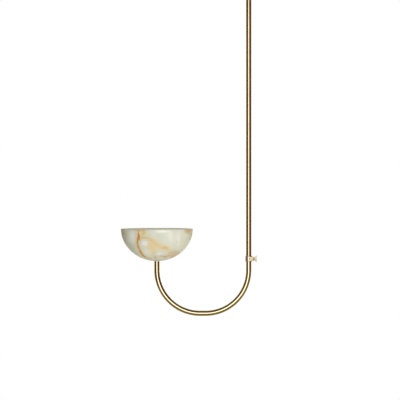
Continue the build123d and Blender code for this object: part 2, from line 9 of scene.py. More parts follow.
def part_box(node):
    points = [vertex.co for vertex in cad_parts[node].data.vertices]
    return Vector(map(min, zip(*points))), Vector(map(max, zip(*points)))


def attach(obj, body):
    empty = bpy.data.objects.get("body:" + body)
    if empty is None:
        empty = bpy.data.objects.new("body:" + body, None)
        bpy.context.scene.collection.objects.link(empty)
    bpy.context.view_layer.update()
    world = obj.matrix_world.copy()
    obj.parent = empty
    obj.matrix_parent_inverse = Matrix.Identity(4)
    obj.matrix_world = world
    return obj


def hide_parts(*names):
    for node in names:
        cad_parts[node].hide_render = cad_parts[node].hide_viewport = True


# A brass pendant light with an alabaster bowl. The rod hangs from the ceiling plane at the origin, the arm
# swings a half turn below it towards -X, and the bowl stands on the arm's end. Lengths are in metres.
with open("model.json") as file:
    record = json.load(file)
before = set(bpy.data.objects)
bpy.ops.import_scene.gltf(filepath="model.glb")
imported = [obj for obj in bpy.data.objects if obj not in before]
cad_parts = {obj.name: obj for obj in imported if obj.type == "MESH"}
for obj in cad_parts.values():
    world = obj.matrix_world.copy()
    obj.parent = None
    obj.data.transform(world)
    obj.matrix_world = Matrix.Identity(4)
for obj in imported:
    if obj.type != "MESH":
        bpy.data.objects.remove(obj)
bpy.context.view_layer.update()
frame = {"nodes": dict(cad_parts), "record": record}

MM = 0.001

# The photograph's view: level, along +Y
VIEW_CENTRE = Vector((-0.1231, 0.0, -0.577))
VIEW_DISTANCE = 4.0
VIEW_WIDTH = 1.0112
SENSOR_WIDTH = 36.0

# Studio: a softbox in front and one behind, walls between them that only reflections see, dark in front and
# lighter behind, and two fills that reflections don't see
SOFTBOX_CENTRE = Vector((-0.1, -3.0, -0.5))
SOFTBOX_WIDTH = 1.9
SOFTBOX_HEIGHT = 1.7
SOFTBOX_LEVEL = 1.17
FILL_CENTRE = Vector((2.0, -2.5, -1.5))
FILL_SIZE = 2.5
FILL_LEVEL = 2.05
TOP_FILL_CENTRE = Vector((-0.3, -0.1, 1.5))
TOP_FILL_SIZE = 1.6
TOP_FILL_LEVEL = 1.5
FILL_TARGET = Vector((-0.15, 0.0, -0.68))
BACK_SOFTBOX_CENTRE = Vector((-0.1, 5.0, -0.5))
BACK_SOFTBOX_LEVEL = 1.0
AMBIENT_LEVEL = 0.58
FLOOR_HEIGHT = -2.6
FLOOR_RADIUS = 6.0
FLOOR_GLOW = 0.6

# The walls that reflections see. Each colour holds on its own side, and they blend in the corners.
WALLS_FRONT = -2.95
WALLS_BACK = 4.95
LEFT_WALL = (0.15, 0.086, 0.0, 1.0)
RIGHT_WALL = (0.125, 0.044, 0.0, 1.0)
UPPER_WALL = (0.12, 0.076, 0.0, 1.0)
LOWER_WALL = (0.24, 0.17, 0.02, 1.0)
# Where a corner's blend begins and ends, as a share of the way across
CORNER_START = 0.3
CORNER_END = 0.48
# Beside the arm the right wall is more golden: heights from the walls' middle
RIGHT_WALL_BY_ARM = (0.2, 0.148, 0.01, 1.0)
BY_ARM_START = -0.26
BY_ARM_END = -0.36
# The lower wall turns pale towards both its ends
LOWER_WALL_ENDS = (0.72, 0.64, 0.48, 1.0)
ENDS_START = 0.7
ENDS_END = 2.4
# All walls turn lighter behind the light
WALLS_BEHIND = (0.6, 0.46, 0.22, 1.0)
BEHIND_START = 0.5
# What lies close under the upper wall, as the inside of the ceiling cover does, sees it pale
UPPER_WALL_NEAR_BY = (0.6, 0.59, 0.57, 1.0)
NEAR_BY_START = 0.65
NEAR_BY_END = 0.5

# Sizes that the box of a node doesn't show
TUBE_BORE = 10.7 * MM
TUBE_EDGE = 0.2 * MM
BEND_RADIUS = 109.0 * MM
BOWL_DEPTH = 82.4 * MM
BOWL_WALL = 9.0 * MM
BOWL_FLOOR = 11.0 * MM
BOWL_RIM_ROUND = 2.0 * MM
BOWL_HOLE_RADIUS = 4.25 * MM
BOWL_SEAT_RADIUS = 7.1 * MM
BOWL_PLATE_SEAT_RADIUS = 18.0 * MM
CANOPY_WALL = 1.2 * MM
CANOPY_ROUND = 10.0 * MM
CANOPY_HEM = 2.4 * MM
CANOPY_HEM_ROUND = 0.6 * MM
CANOPY_HOLE_RADIUS = 6.75 * MM
CANOPY_HOLE_EDGE = 0.3 * MM
THREAD_PITCH = 1.0 * MM
THREAD_DEPTH = 0.55 * MM
NIPPLE_BORE = 4.6 * MM
NUT_BORE = 8.1 * MM
EARTH_SCREW_RADIUS = 2.0 * MM
EARTH_HEAD_HEIGHT = 2.6 * MM
TERMINAL_PITCH = 7.5 * MM
TERMINAL_SCREW_LENGTH = 2.45 * MM
TERMINAL_SCREW_END = 0.49 * MM
HOLDER_SCREW_RADIUS = 1.5 * MM
HOLDER_SCREW_LENGTH = 5.5 * MM
HOLDER_HEAD_HEIGHT = 1.8 * MM


# Places and sizes from the frame

def middle_of(node):
    """The upright axis of a node, at height zero."""
    low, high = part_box(node)
    return Vector(((low.x + high.x) / 2, (low.y + high.y) / 2, 0.0))


def radius_of(node):
    """The radius of a round node, measured across the view."""
    low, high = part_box(node)
    return (high.y - low.y) / 2


# Node helpers

def tint(red, green, blue):
    """A colour as it looks on screen, 0 to 255, turned into the linear values that shaders take."""
    levels = [level / 255 for level in (red, green, blue)]
    linear = [v / 12.92 if v <= 0.04045 else ((v + 0.055) / 1.055) ** 2.4 for v in levels]
    return (*linear, 1.0)


def feed(tree, node, inputs):
    """Gives each input of a node its constant, or links it to a socket."""
    for socket, value in inputs.items():
        if isinstance(value, bpy.types.NodeSocket):
            tree.links.new(value, node.inputs[socket])
        else:
            node.inputs[socket].default_value = value


def place(tree, kind, inputs=None, **settings):
    """Adds a node with its settings and inputs."""
    node = tree.nodes.new("ShaderNode" + kind)
    for setting, value in settings.items():
        setattr(node, setting, value)
    feed(tree, node, inputs or {})
    return node


def work_out(tree, operation, *values):
    """One step of arithmetic."""
    return place(tree, "Math", dict(enumerate(values)), operation=operation).outputs[0]


def work_out_vector(tree, operation, *values):
    """One step of arithmetic on vectors."""
    node = place(tree, "VectorMath", dict(enumerate(values)), operation=operation)
    return node.outputs["Value" if operation in ("DOT_PRODUCT", "LENGTH", "DISTANCE") else "Vector"]


def fade(tree, value, start, end, low=0.0, high=1.0):
    """A smooth change from low to high while the value goes from start to end."""
    inputs = {"Value": value, "From Min": start, "From Max": end, "To Min": low, "To Max": high}
    return place(tree, "MapRange", inputs, interpolation_type="SMOOTHSTEP").outputs["Result"]


def mix_colours(tree, share, first, second):
    """The second colour laid over the first by a share."""
    return place(tree, "Mix", {0: share, 6: first, 7: second}, data_type="RGBA").outputs[2]


def scaled(tree, vector, scale):
    """A vector times a number."""
    return place(tree, "VectorMath", {0: vector, "Scale": scale}, operation="SCALE").outputs["Vector"]


def cloud(tree, point, scale, detail=3.0, distortion=0.0):
    """Soft noise from about 0.25 to 0.75."""
    inputs = {"Vector": point, "Scale": scale, "Detail": detail, "Distortion": distortion}
    return place(tree, "TexNoise", inputs).outputs["Fac"]


def object_point(tree):
    """The surface point in the light's own frame."""
    return place(tree, "TexCoord").outputs["Object"]


def new_group(name, inputs, outputs):
    """An empty node group with named sockets. Inputs are (name, kind, default)."""
    group = bpy.data.node_groups.new(name, "ShaderNodeTree")
    for socket, kind, default in inputs:
        made = group.interface.new_socket(socket, in_out="INPUT", socket_type="NodeSocket" + kind)
        made.default_value = default
    for socket, kind in outputs:
        group.interface.new_socket(socket, in_out="OUTPUT", socket_type="NodeSocket" + kind)
    given = group.nodes.new("NodeGroupInput").outputs
    result = group.nodes.new("NodeGroupOutput")
    return group, given, result


def use_group(tree, group, inputs):
    """Places a node group and returns its outputs."""
    node = tree.nodes.new("ShaderNodeGroup")
    node.node_tree = group
    feed(tree, node, inputs)
    return node.outputs


# Effects that several finishes share

# How much of a tone's unevenness lies in its clouds; the rest is grain
CLOUD_SHARE = 0.8
STREAKS_PER_METRE = 500.0


def make_uneven_tone():
    """Two tones of one colour in soft clouds, with a finer grain on top."""
    group, given, result = new_group(
        "uneven_tone",
        [
            ("First tone", "Color", (0.8, 0.8, 0.8, 1.0)),
            ("Second tone", "Color", (0.6, 0.6, 0.6, 1.0)),
            ("Cloud scale", "Float", 40.0),
            ("Grain scale", "Float", 900.0),
        ],
        [("Colour", "Color"), ("Grain", "Float")],
    )
    point = object_point(group)
    broad = fade(group, cloud(group, point, given["Cloud scale"], 4.0), 0.3, 0.7, 0.0, CLOUD_SHARE)
    grain = fade(group, cloud(group, point, given["Grain scale"], 2.0), 0.25, 0.75)
    share = work_out(group, "MULTIPLY_ADD", grain, 1.0 - CLOUD_SHARE, broad)
    colour = mix_colours(group, share, given["First tone"], given["Second tone"])
    feed(group, result, {"Colour": colour, "Grain": grain})
    return group


def make_drawn_lines():
    """Fine lines left by drawing or turning, which follow the lay that a mesh carries."""
    group, given, result = new_group(
        "drawn_lines",
        [("Lines per metre", "Float", 5000.0)],
        [("Height", "Float"), ("Streak", "Float")],
    )
    lay = place(group, "Attribute", attribute_name="lay").outputs["Vector"]
    lines = cloud(group, lay, given["Lines per metre"], 2.0)
    streak = fade(group, cloud(group, lay, STREAKS_PER_METRE, 3.0), 0.3, 0.7)
    feed(group, result, {"Height": lines, "Streak": streak})
    return group


def make_handling():
    """Smudges and dry patches: a roughness between a polished and a dull value."""
    group, given, result = new_group(
        "handling",
        [("Polished", "Float", 0.2), ("Dull", "Float", 0.4), ("Scale", "Float", 30.0)],
        [("Roughness", "Float")],
    )
    point = object_point(group)
    smudge = fade(group, cloud(group, point, given["Scale"], 5.0, 0.6), 0.35, 0.7)
    span = work_out(group, "SUBTRACT", given["Dull"], given["Polished"])
    feed(group, result, {"Roughness": work_out(group, "MULTIPLY_ADD", smudge, span, given["Polished"])})
    return group


def make_vein_stretch():
    """One straight stretch of a vein: a dense core and a wide stain round it."""
    group, given, result = new_group(
        "vein_stretch",
        [
            ("Point", "Vector", (0.0, 0.0, 0.0)),
            ("Start", "Vector", (0.0, 0.0, 0.0)),
            ("End", "Vector", (0.0, 0.0, 1.0)),
            ("Start width", "Float", 0.002),
            ("End width", "Float", 0.002),
        ],
        [("Core", "Float"), ("Stain", "Float")],
    )
    reach = work_out_vector(group, "SUBTRACT", given["Point"], given["Start"])
    along = work_out_vector(group, "SUBTRACT", given["End"], given["Start"])
    share = work_out(
        group,
        "DIVIDE",
        work_out_vector(group, "DOT_PRODUCT", reach, along),
        work_out_vector(group, "DOT_PRODUCT", along, along),
    )
    share = place(group, "Clamp", {"Value": share}).outputs[0]
    distance = work_out_vector(group, "DISTANCE", reach, scaled(group, along, share))
    widths = place(group, "Mix", {0: share, 2: given["Start width"], 3: given["End width"]}).outputs[0]
    ratio = work_out(group, "DIVIDE", distance, widths)
    feed(group, result, {"Core": fade(group, ratio, 1.35, 0.45), "Stain": fade(group, ratio, 3.2, 0.6)})
    return group


def make_soft_patch():
    """An oval stain with a soft edge, for cloudy marks in stone."""
    group, given, result = new_group(
        "soft_patch",
        [
            ("Point", "Vector", (0.0, 0.0, 0.0)),
            ("Centre", "Vector", (0.0, 0.0, 0.0)),
            ("Size", "Vector", (0.01, 1.0, 0.01)),
        ],
        [("Mask", "Float")],
    )
    offset = work_out_vector(group, "SUBTRACT", given["Point"], given["Centre"])
    ratio = work_out_vector(group, "LENGTH", work_out_vector(group, "DIVIDE", offset, given["Size"]))
    feed(group, result, {"Mask": fade(group, ratio, 1.0, 0.1)})
    return group


uneven_tone = make_uneven_tone()
drawn_lines = make_drawn_lines()
handling = make_handling()
vein_stretch = make_vein_stretch()
soft_patch = make_soft_patch()


# Finishes

def new_finish(name, constants):
    """A material with one Principled shader, whose constants are set on its own sockets."""
    material = bpy.data.materials.new(name)
    material.use_nodes = True
    tree = material.node_tree
    shader = tree.nodes["Principled BSDF"]
    feed(tree, shader, constants)
    return material, tree, shader


def add_bump(tree, shader, height, strength, depth):
    """Raises the surface by a height map."""
    bump = place(tree, "Bump", {"Strength": strength, "Distance": depth, "Height": height})
    tree.links.new(bump.outputs["Normal"], shader.inputs["Normal"])


LINE_DEPTH = 0.02 * MM
STREAK_ROUGHNESS = 0.03


def metal_finish(name, bright, dark, polished, dull, constants, lines=5000.0):
    """A metal with drawn lines, tone clouds and smudges."""
    material, tree, shader = new_finish(name, {"Metallic": 1.0, **constants})
    tones = {"First tone": bright, "Second tone": dark, "Cloud scale": 18.0, "Grain scale": 700.0}
    tone = use_group(tree, uneven_tone, tones)
    marks = use_group(tree, handling, {"Polished": polished, "Dull": dull, "Scale": 26.0})
    drawn = use_group(tree, drawn_lines, {"Lines per metre": lines})
    streaked = work_out(tree, "MULTIPLY_ADD", drawn["Streak"], STREAK_ROUGHNESS, marks["Roughness"])
    feed(tree, shader, {"Base Color": tone["Colour"], "Roughness": streaked})
    add_bump(tree, shader, drawn["Height"], 0.03, LINE_DEPTH)
    return material


LACQUER = {"Coat Weight": 0.1, "Coat Roughness": 0.12, "Coat IOR": 1.5}


def satin_brass():
    """The brass of rod and rings, with drawn lines under a clear lacquer."""
    return metal_finish("satin_brass", tint(221, 206, 178), tint(213, 197, 165), 0.08, 0.12, LACQUER)


def arm_brass_paler_for_highlight():
    """The tube's brass: a paler and glossier copy of the rod's brass, its tint painted paler so that the
    arm's highlight shows whiter.
    """
    return metal_finish("arm_brass_paler_for_highlight", tint(229, 219, 194), tint(222, 211, 184), 0.06, 0.09, {})


def spun_brass():
    """Softer brass with the coarse rings of spinning or turning."""
    return metal_finish("spun_brass", tint(226, 210, 180), tint(214, 196, 160), 0.24, 0.34, LACQUER, 1800.0)


# Where the collar's milled screw block begins, on its way out from the rod, and how much duller it is
BLOCK_START = 3.0 * MM
BLOCK_FULL = 4.4 * MM
BLOCK_DULLNESS = 0.26


def collar_brass():
    """Brass that is turned bright on the ring and milled to a satin on the screw block."""
    material, tree, shader = new_finish("collar_brass", {"Metallic": 0.9})
    tones = {"First tone": tint(234, 224, 201), "Second tone": tint(225, 213, 187), "Cloud scale": 60.0}
    tone = use_group(tree, uneven_tone, tones)
    across = place(tree, "SeparateXYZ", {"Vector": object_point(tree)}).outputs["X"]
    milled = fade(tree, across, BLOCK_START, BLOCK_FULL, 0.0, BLOCK_DULLNESS)
    marks = use_group(tree, handling, {"Polished": 0.19, "Dull": 0.26, "Scale": 90.0})
    rough = work_out(tree, "ADD", marks["Roughness"], milled)
    feed(tree, shader, {"Base Color": tone["Colour"], "Roughness": rough})
    add_bump(tree, shader, tone["Grain"], 0.1, 0.02 * MM)
    return material


def cast_brass():
    """Cast and tumbled brass, with a fine grain all over."""
    material, tree, shader = new_finish("cast_brass", {"Metallic": 0.4})
    tones = {
        "First tone": tint(222, 206, 174),
        "Second tone": tint(210, 192, 156),
        "Cloud scale": 90.0,
        "Grain scale": 2200.0,
    }
    tone = use_group(tree, uneven_tone, tones)
    marks = use_group(tree, handling, {"Polished": 0.36, "Dull": 0.46, "Scale": 120.0})
    feed(tree, shader, {"Base Color": tone["Colour"], "Roughness": marks["Roughness"]})
    add_bump(tree, shader, tone["Grain"], 0.25, 0.05 * MM)
    return material


def raw_brass():
    """Bare turned brass of the pieces inside."""
    return metal_finish("raw_brass", tint(214, 182, 116), tint(186, 148, 84), 0.26, 0.42, {}, 3500.0)


def zinc_steel():
    """Zinc-plated steel of brackets, nipples and screws."""
    return metal_finish("zinc_steel", tint(206, 209, 212), tint(172, 178, 186), 0.3, 0.46, {}, 2500.0)


def contact_metal():
    """Nickel-plated contacts and pins."""
    return metal_finish("contact_metal", tint(216, 212, 202), tint(190, 184, 170), 0.2, 0.35, {}, 2500.0)


def moulded_finish(name, first, second, polished, dull, constants, pitting=0.05):
    """A moulded or fired surface with uneven tone, fine pitting and smudges."""
    material, tree, shader = new_finish(name, constants)
    tones = {"First tone": first, "Second tone": second, "Cloud scale": 60.0, "Grain scale": 1500.0}
    tone = use_group(tree, uneven_tone, tones)
    marks = use_group(tree, handling, {"Polished": polished, "Dull": dull, "Scale": 70.0})
    feed(tree, shader, {"Base Color": tone["Colour"], "Roughness": marks["Roughness"]})
    add_bump(tree, shader, tone["Grain"], 0.25, pitting * MM)
    return material


def silicone():
    """Cloudy silicone of the washers round the stone."""
    soft = {"Subsurface Weight": 0.3, "Subsurface Scale": 2 * MM}
    return moulded_finish("silicone", tint(226, 226, 222), tint(206, 206, 202), 0.45, 0.6, soft)


def nylon():
    """Natural nylon of the thrust washer."""
    return moulded_finish("nylon", tint(238, 236, 226), tint(222, 218, 204), 0.4, 0.55, {})


def flex_sheath():
    """Pale outer sheath of the flex."""
    return moulded_finish("flex_sheath", tint(222, 220, 208), tint(206, 203, 190), 0.42, 0.58, {})


def terminal_plastic():
    """White moulded plastic of the terminal block."""
    return moulded_finish("terminal_plastic", tint(236, 236, 231), tint(222, 222, 216), 0.34, 0.5, {})


def holder_ceramic():
    """Unglazed ceramic of the lampholder."""
    return moulded_finish("holder_ceramic", tint(240, 237, 228), tint(225, 220, 208), 0.42, 0.62, {}, 0.12)


def lamp_ceramic():
    """Glazed ceramic of the lamp's base."""
    glaze = {"Coat Weight": 0.4, "Coat Roughness": 0.1}
    return moulded_finish("lamp_ceramic", tint(244, 244, 240), tint(232, 231, 226), 0.25, 0.4, glaze, 0.06)


def frosted_glass():
    """Acid-etched glass: rough, pale and partly clear."""
    clear = {"Transmission Weight": 0.75, "IOR": 1.48}
    return moulded_finish("frosted_glass", tint(247, 248, 247), tint(238, 241, 241), 0.42, 0.55, clear, 0.04)


# Where the three cores lie apart, measured across the terminal block
CORE_SPLIT = 0.65 * MM
# How fast the earth core's stripes change, in radians per metre
STRIPE_RATE = 2600.0


def core_insulation():
    """Three cores in one node: brown, striped green and yellow in the middle, and blue."""
    material, tree, shader = new_finish("core_insulation", {})
    point = object_point(tree)
    across = place(tree, "SeparateXYZ", {"Vector": point}).outputs
    wave = work_out(tree, "SINE", work_out(tree, "MULTIPLY", across["X"], STRIPE_RATE))
    earth = mix_colours(tree, fade(tree, wave, -0.1, 0.1), tint(58, 132, 64), tint(226, 205, 62))
    front = work_out(tree, "LESS_THAN", across["Y"], -CORE_SPLIT)
    back = work_out(tree, "GREATER_THAN", across["Y"], CORE_SPLIT)
    colour = mix_colours(tree, front, earth, tint(112, 70, 42))
    colour = mix_colours(tree, back, colour, tint(58, 104, 176))
    marks = use_group(tree, handling, {"Polished": 0.34, "Dull": 0.5, "Scale": 90.0})
    feed(tree, shader, {"Base Color": colour, "Roughness": marks["Roughness"]})
    return material


def light_board():
    """White solder mask on the board."""
    return moulded_finish("light_board", tint(246, 245, 238), tint(234, 232, 222), 0.3, 0.42, {})


def light_chip():
    """Yellow phosphor of the light chips."""
    return moulded_finish("light_chip", tint(240, 214, 92), tint(228, 194, 64), 0.4, 0.5, {})


# Marks in the stone, and the places of painted shade and of a painted highlight, in millimetres from the
# bowl's axis (to the right) and its rim (upwards), as they meet the front of the bowl. A vein's points also
# have half its width there.
MAIN_VEIN = [
    (-44.2, -4.0, 0.9), (-43.6, -11.0, 1.5), (-43.0, -18.0, 3.2), (-43.6, -23.0, 4.9), (-46.4, -28.0, 2.6),
    (-47.2, -34.0, 2.0), (-46.0, -42.0, 2.1), (-42.8, -49.5, 2.0), (-38.8, -58.5, 2.1), (-34.0, -66.0, 2.0),
    (-29.0, -70.7, 1.2),
]
VEIN_TAIL = [(-31.0, -69.0, 1.4), (-22.0, -74.0, 2.0), (-12.0, -77.0, 1.6)]
CROSS_VEIN = [(-37.0, -21.0, 0.9), (-32.0, -22.5, 1.4), (-20.5, -23.0, 1.7), (-13.0, -26.5, 2.4)]
CROSS_CLOUD = [(-15.0, -25.0, 2.6), (-6.0, -31.0, 4.6), (4.0, -38.0, 5.2), (14.0, -45.5, 4.4)]
SIDE_VEIN = [
    (14.0, -45.5, 2.6), (23.0, -46.5, 3.4), (31.5, -49.5, 3.0), (34.0, -56.5, 1.9), (35.5, -62.5, 1.6),
    (36.5, -68.0, 1.8), (40.0, -73.5, 1.6),
]
LOWER_VEIN = [(31.5, -67.5, 1.8), (24.0, -68.5, 1.9), (17.0, -68.8, 2.0), (9.0, -68.0, 1.3)]
RIM_VEIN = [
    (-44.0, -3.0, 1.6), (-31.0, -4.0, 2.2), (-28.0, -9.0, 1.6), (-33.0, -15.0, 0.9), (-35.0, -20.0, 0.7),
]
STEM_VEIN = [(-4.5, -70.0, 1.5), (-0.5, -70.5, 1.6)]
# The veins beside the main one, with the strength of their core and of the stain round it
FAINT_VEINS = [
    (VEIN_TAIL, 0.3, 0.6), (CROSS_VEIN, 0.35, 0.7), (CROSS_CLOUD, 0.15, 0.55), (SIDE_VEIN, 0.45, 0.75),
    (LOWER_VEIN, 0.8, 0.5), (RIM_VEIN, 0.55, 0.7), (STEM_VEIN, 0.8, 0.4),
]
# Soft patches: centre, half sizes and strength
AMBER_PATCHES = [
    ((-9.0, -47.0), (16.0, 26.0), 0.85),
    ((-18.0, -44.0), (8.0, 20.0), 0.3),
    ((-3.0, -36.0), (18.0, 12.0), 0.5),
    ((10.0, -43.0), (18.0, 10.0), 0.4),
    ((30.0, -47.0), (14.0, 10.0), 0.4),
    ((-31.0, -9.0), (14.0, 14.0), 0.85),
    ((-22.0, -24.0), (16.0, 7.0), 0.4),
    ((62.0, -30.0), (16.0, 24.0), 0.12),
]
BROWN_PATCHES = [
    ((79.0, -5.0), (15.0, 13.0), 0.85),
    ((86.0, -18.0), (10.0, 20.0), 0.22),
    ((47.0, -62.0), (24.0, 14.0), 0.5),
    ((-44.0, -2.0), (16.0, 4.5), 0.5),
]
# White patches: pale places in the stone, and at (16, -5) a painted highlight, a soft bright band under the
# front of the rim
WHITE_MARKS_AND_HIGHLIGHT = [
    ((-60.0, -20.0), (13.0, 32.0), 0.65),
    ((-29.0, -36.0), (13.0, 13.0), 1.0),
    ((-20.0, -57.0), (18.0, 13.0), 0.55),
    # Painted highlight under the rim
    ((16.0, -5.0), (24.0, 5.5), 0.9),
    ((8.0, -61.0), (14.0, 7.0), 0.6),
    ((56.0, -26.0), (7.0, 28.0), 0.45),
    ((36.0, -20.0), (9.0, 24.0), 0.35),
]
# Painted shade: the bowl's left side and lower left, darker where they turn away from the light
PAINTED_SHADE_PATCHES = [((-90.0, -14.0), (26.0, 50.0), 0.72), ((-62.0, -42.0), (20.0, 24.0), 0.3)]
HAIRLINE_PATCHES = [
    ((-31.0, -28.0), (30.0, 36.0), 0.9),
    ((34.0, -58.0), (30.0, 26.0), 0.8),
    ((76.0, -14.0), (22.0, 34.0), 0.7),
    ((-12.0, -66.0), (34.0, 16.0), 0.6),
]
DENSE_PATCHES = [((-44.0, -20.5), (8.0, 12.0), 0.9)]
# How far a mark drifts for each metre that it runs back through the stone, and how far it wanders
DRIFT = (0.35, 0.0, 0.22)
WANDER = 9.0 * MM
WANDER_SCALE = 55.0
# Colours of the stone and of its marks
STONE_GREY = tint(215, 217, 197)
STONE_CREAM = tint(226, 225, 206)
STONE_GREEN = tint(207, 211, 186)
# Colour of the painted shade on the bowl's left side
STONE_PAINTED_SHADE = tint(162, 162, 124)
# White of the stone's pale places and of the highlight painted under the rim
STONE_WHITE_AND_HIGHLIGHT = tint(243, 243, 233)
AMBER = tint(236, 209, 146)
BROWN = tint(204, 164, 106)
HAIRLINE = tint(204, 170, 116)
FAINT_STAIN = tint(232, 205, 146)
FAINT_CORE = tint(212, 162, 84)
MAIN_STAIN = tint(224, 192, 124)
RUST = tint(220, 156, 12)
DENSE_RUST = tint(206, 116, 0)
# Painted shade: the grey line along the top of the rim
RIM_SHADE = tint(146, 146, 130)
# How strongly some of them show
GREEN_STRENGTH = 0.6
HAIRLINE_STRENGTH = 0.42
MAIN_STAIN_STRENGTH = 0.4
RIM_SHADE_STRENGTH = 0.38
# Heights below the rim between which the shade painted along its edge begins
RIM_SHADE_START = -3.6 * MM
RIM_SHADE_END = -1.6 * MM


def stone_point(tree, centre, radius):
    """The point at which a mark that reaches this place meets the front of the bowl, with a slight wander."""
    point = work_out_vector(tree, "SUBTRACT", object_point(tree), centre)
    axes = place(tree, "SeparateXYZ", {"Vector": point}).outputs
    across = work_out(tree, "POWER", work_out(tree, "DIVIDE", axes["X"], radius), 2.0)
    down = work_out(tree, "POWER", work_out(tree, "DIVIDE", axes["Z"], BOWL_DEPTH), 2.0)
    left = work_out(tree, "SUBTRACT", work_out(tree, "SUBTRACT", 1.0, across), down)
    front = work_out(tree, "MULTIPLY", work_out(tree, "SQRT", work_out(tree, "MAXIMUM", left, 0.0)), -radius)
    depth = work_out(tree, "SUBTRACT", axes["Y"], front)
    drifted = scaled(tree, DRIFT, depth)
    flat = work_out_vector(tree, "MULTIPLY", point, (1.0, 0.0, 1.0))
    shifts = {"Vector": point, "Scale": WANDER_SCALE, "Detail": 6.0, "Roughness": 0.62}
    wander = place(tree, "TexNoise", shifts).outputs["Color"]
    wander = work_out_vector(tree, "SUBTRACT", wander, (0.5, 0.5, 0.5))
    wander = work_out_vector(tree, "MULTIPLY", wander, (WANDER, 0.0, WANDER))
    return point, work_out_vector(tree, "ADD", work_out_vector(tree, "ADD", flat, drifted), wander)


def vein_masks(tree, point, stations):
    """Core and stain of a vein that runs through its stations."""
    core, stain = 0.0, 0.0
    for (x, z, width), (next_x, next_z, next_width) in zip(stations, stations[1:]):
        stretch = {
            "Point": point,
            "Start": (x * MM, 0.0, z * MM),
            "End": (next_x * MM, 0.0, next_z * MM),
            "Start width": width * MM,
            "End width": next_width * MM,
        }
        masks = use_group(tree, vein_stretch, stretch)
        core = work_out(tree, "MAXIMUM", core, masks["Core"])
        stain = work_out(tree, "MAXIMUM", stain, masks["Stain"])
    return core, stain


def hairlines(tree, point):
    """Fine lines where a cloud passes through its middle value."""
    level = cloud(tree, point, 60.0, 3.0, 0.9)
    from_middle = work_out(tree, "ABSOLUTE", work_out(tree, "SUBTRACT", level, 0.5))
    return fade(tree, from_middle, 0.028, 0.004)


def lay_patches(tree, colour, point, patches, patch_colour):
    """The colour with soft patches of another colour laid over it."""
    for (x, z), (wide, tall), strength in patches:
        spot = {"Point": point, "Centre": (x * MM, 0.0, z * MM), "Size": (wide * MM, 1.0, tall * MM)}
        mask = use_group(tree, soft_patch, spot)["Mask"]
        colour = mix_colours(tree, work_out(tree, "MULTIPLY", mask, strength), colour, patch_colour)
    return colour


def stone_ground(tree, point, mark_point):
    """The cloudy ground of the stone, with shade painted on its left side, its white places and a highlight
    painted under the rim, and its grain.
    """
    tones = {"First tone": STONE_GREY, "Second tone": STONE_CREAM, "Cloud scale": 22.0, "Grain scale": 160.0}
    tone = use_group(tree, uneven_tone, tones)
    green = fade(tree, cloud(tree, point, 14.0, 5.0, 1.2), 0.45, 0.7, 0.0, GREEN_STRENGTH)
    colour = mix_colours(tree, green, tone["Colour"], STONE_GREEN)
    # Shade painted on the bowl's left side
    colour = lay_patches(tree, colour, mark_point, PAINTED_SHADE_PATCHES, STONE_PAINTED_SHADE)
    # Pale places in the stone, and a highlight painted under the rim
    colour = lay_patches(tree, colour, mark_point, WHITE_MARKS_AND_HIGHLIGHT, STONE_WHITE_AND_HIGHLIGHT)
    return colour, tone["Grain"]


def lay_stains(tree, colour, point, mark_point, broken):
    """The colour with amber and brown stains and with hairlines."""
    stained = lay_patches(tree, colour, mark_point, AMBER_PATCHES, AMBER)
    stained = lay_patches(tree, stained, mark_point, BROWN_PATCHES, BROWN)
    colour = mix_colours(tree, broken, colour, stained)
    lines = work_out(tree, "MULTIPLY", hairlines(tree, point), HAIRLINE_STRENGTH)
    lined = mix_colours(tree, lines, colour, HAIRLINE)
    return lay_patches(tree, colour, mark_point, HAIRLINE_PATCHES, lined)


def lay_veins(tree, colour, point, mark_point, broken):
    """The colour with the faint veins, and the main one over them."""
    blotchy = fade(tree, cloud(tree, point, 70.0, 4.0), 0.36, 0.62, 0.35, 1.0)
    for stations, core_strength, stain_strength in FAINT_VEINS:
        core, stain = vein_masks(tree, mark_point, stations)
        stain = work_out(tree, "MULTIPLY", work_out(tree, "MULTIPLY", stain, stain_strength), blotchy)
        colour = mix_colours(tree, stain, colour, FAINT_STAIN)
        core = work_out(tree, "MULTIPLY", work_out(tree, "MULTIPLY", core, core_strength), blotchy)
        colour = mix_colours(tree, core, colour, FAINT_CORE)
    core, stain = vein_masks(tree, mark_point, MAIN_VEIN)
    colour = mix_colours(tree, work_out(tree, "MULTIPLY", stain, MAIN_STAIN_STRENGTH), colour, MAIN_STAIN)
    rust = lay_patches(tree, RUST, mark_point, DENSE_PATCHES, DENSE_RUST)
    return mix_colours(tree, work_out(tree, "MULTIPLY", core, broken), colour, rust)


def lay_rim_shade(tree, colour, point, broken):
    """The colour with a grey line of painted shade along the top of the rim."""
    below_rim = place(tree, "SeparateXYZ", {"Vector": point}).outputs["Z"]
    rim_shade = fade(tree, below_rim, RIM_SHADE_START, RIM_SHADE_END, 0.0, RIM_SHADE_STRENGTH)
    return mix_colours(tree, work_out(tree, "MULTIPLY", rim_shade, broken), colour, RIM_SHADE)


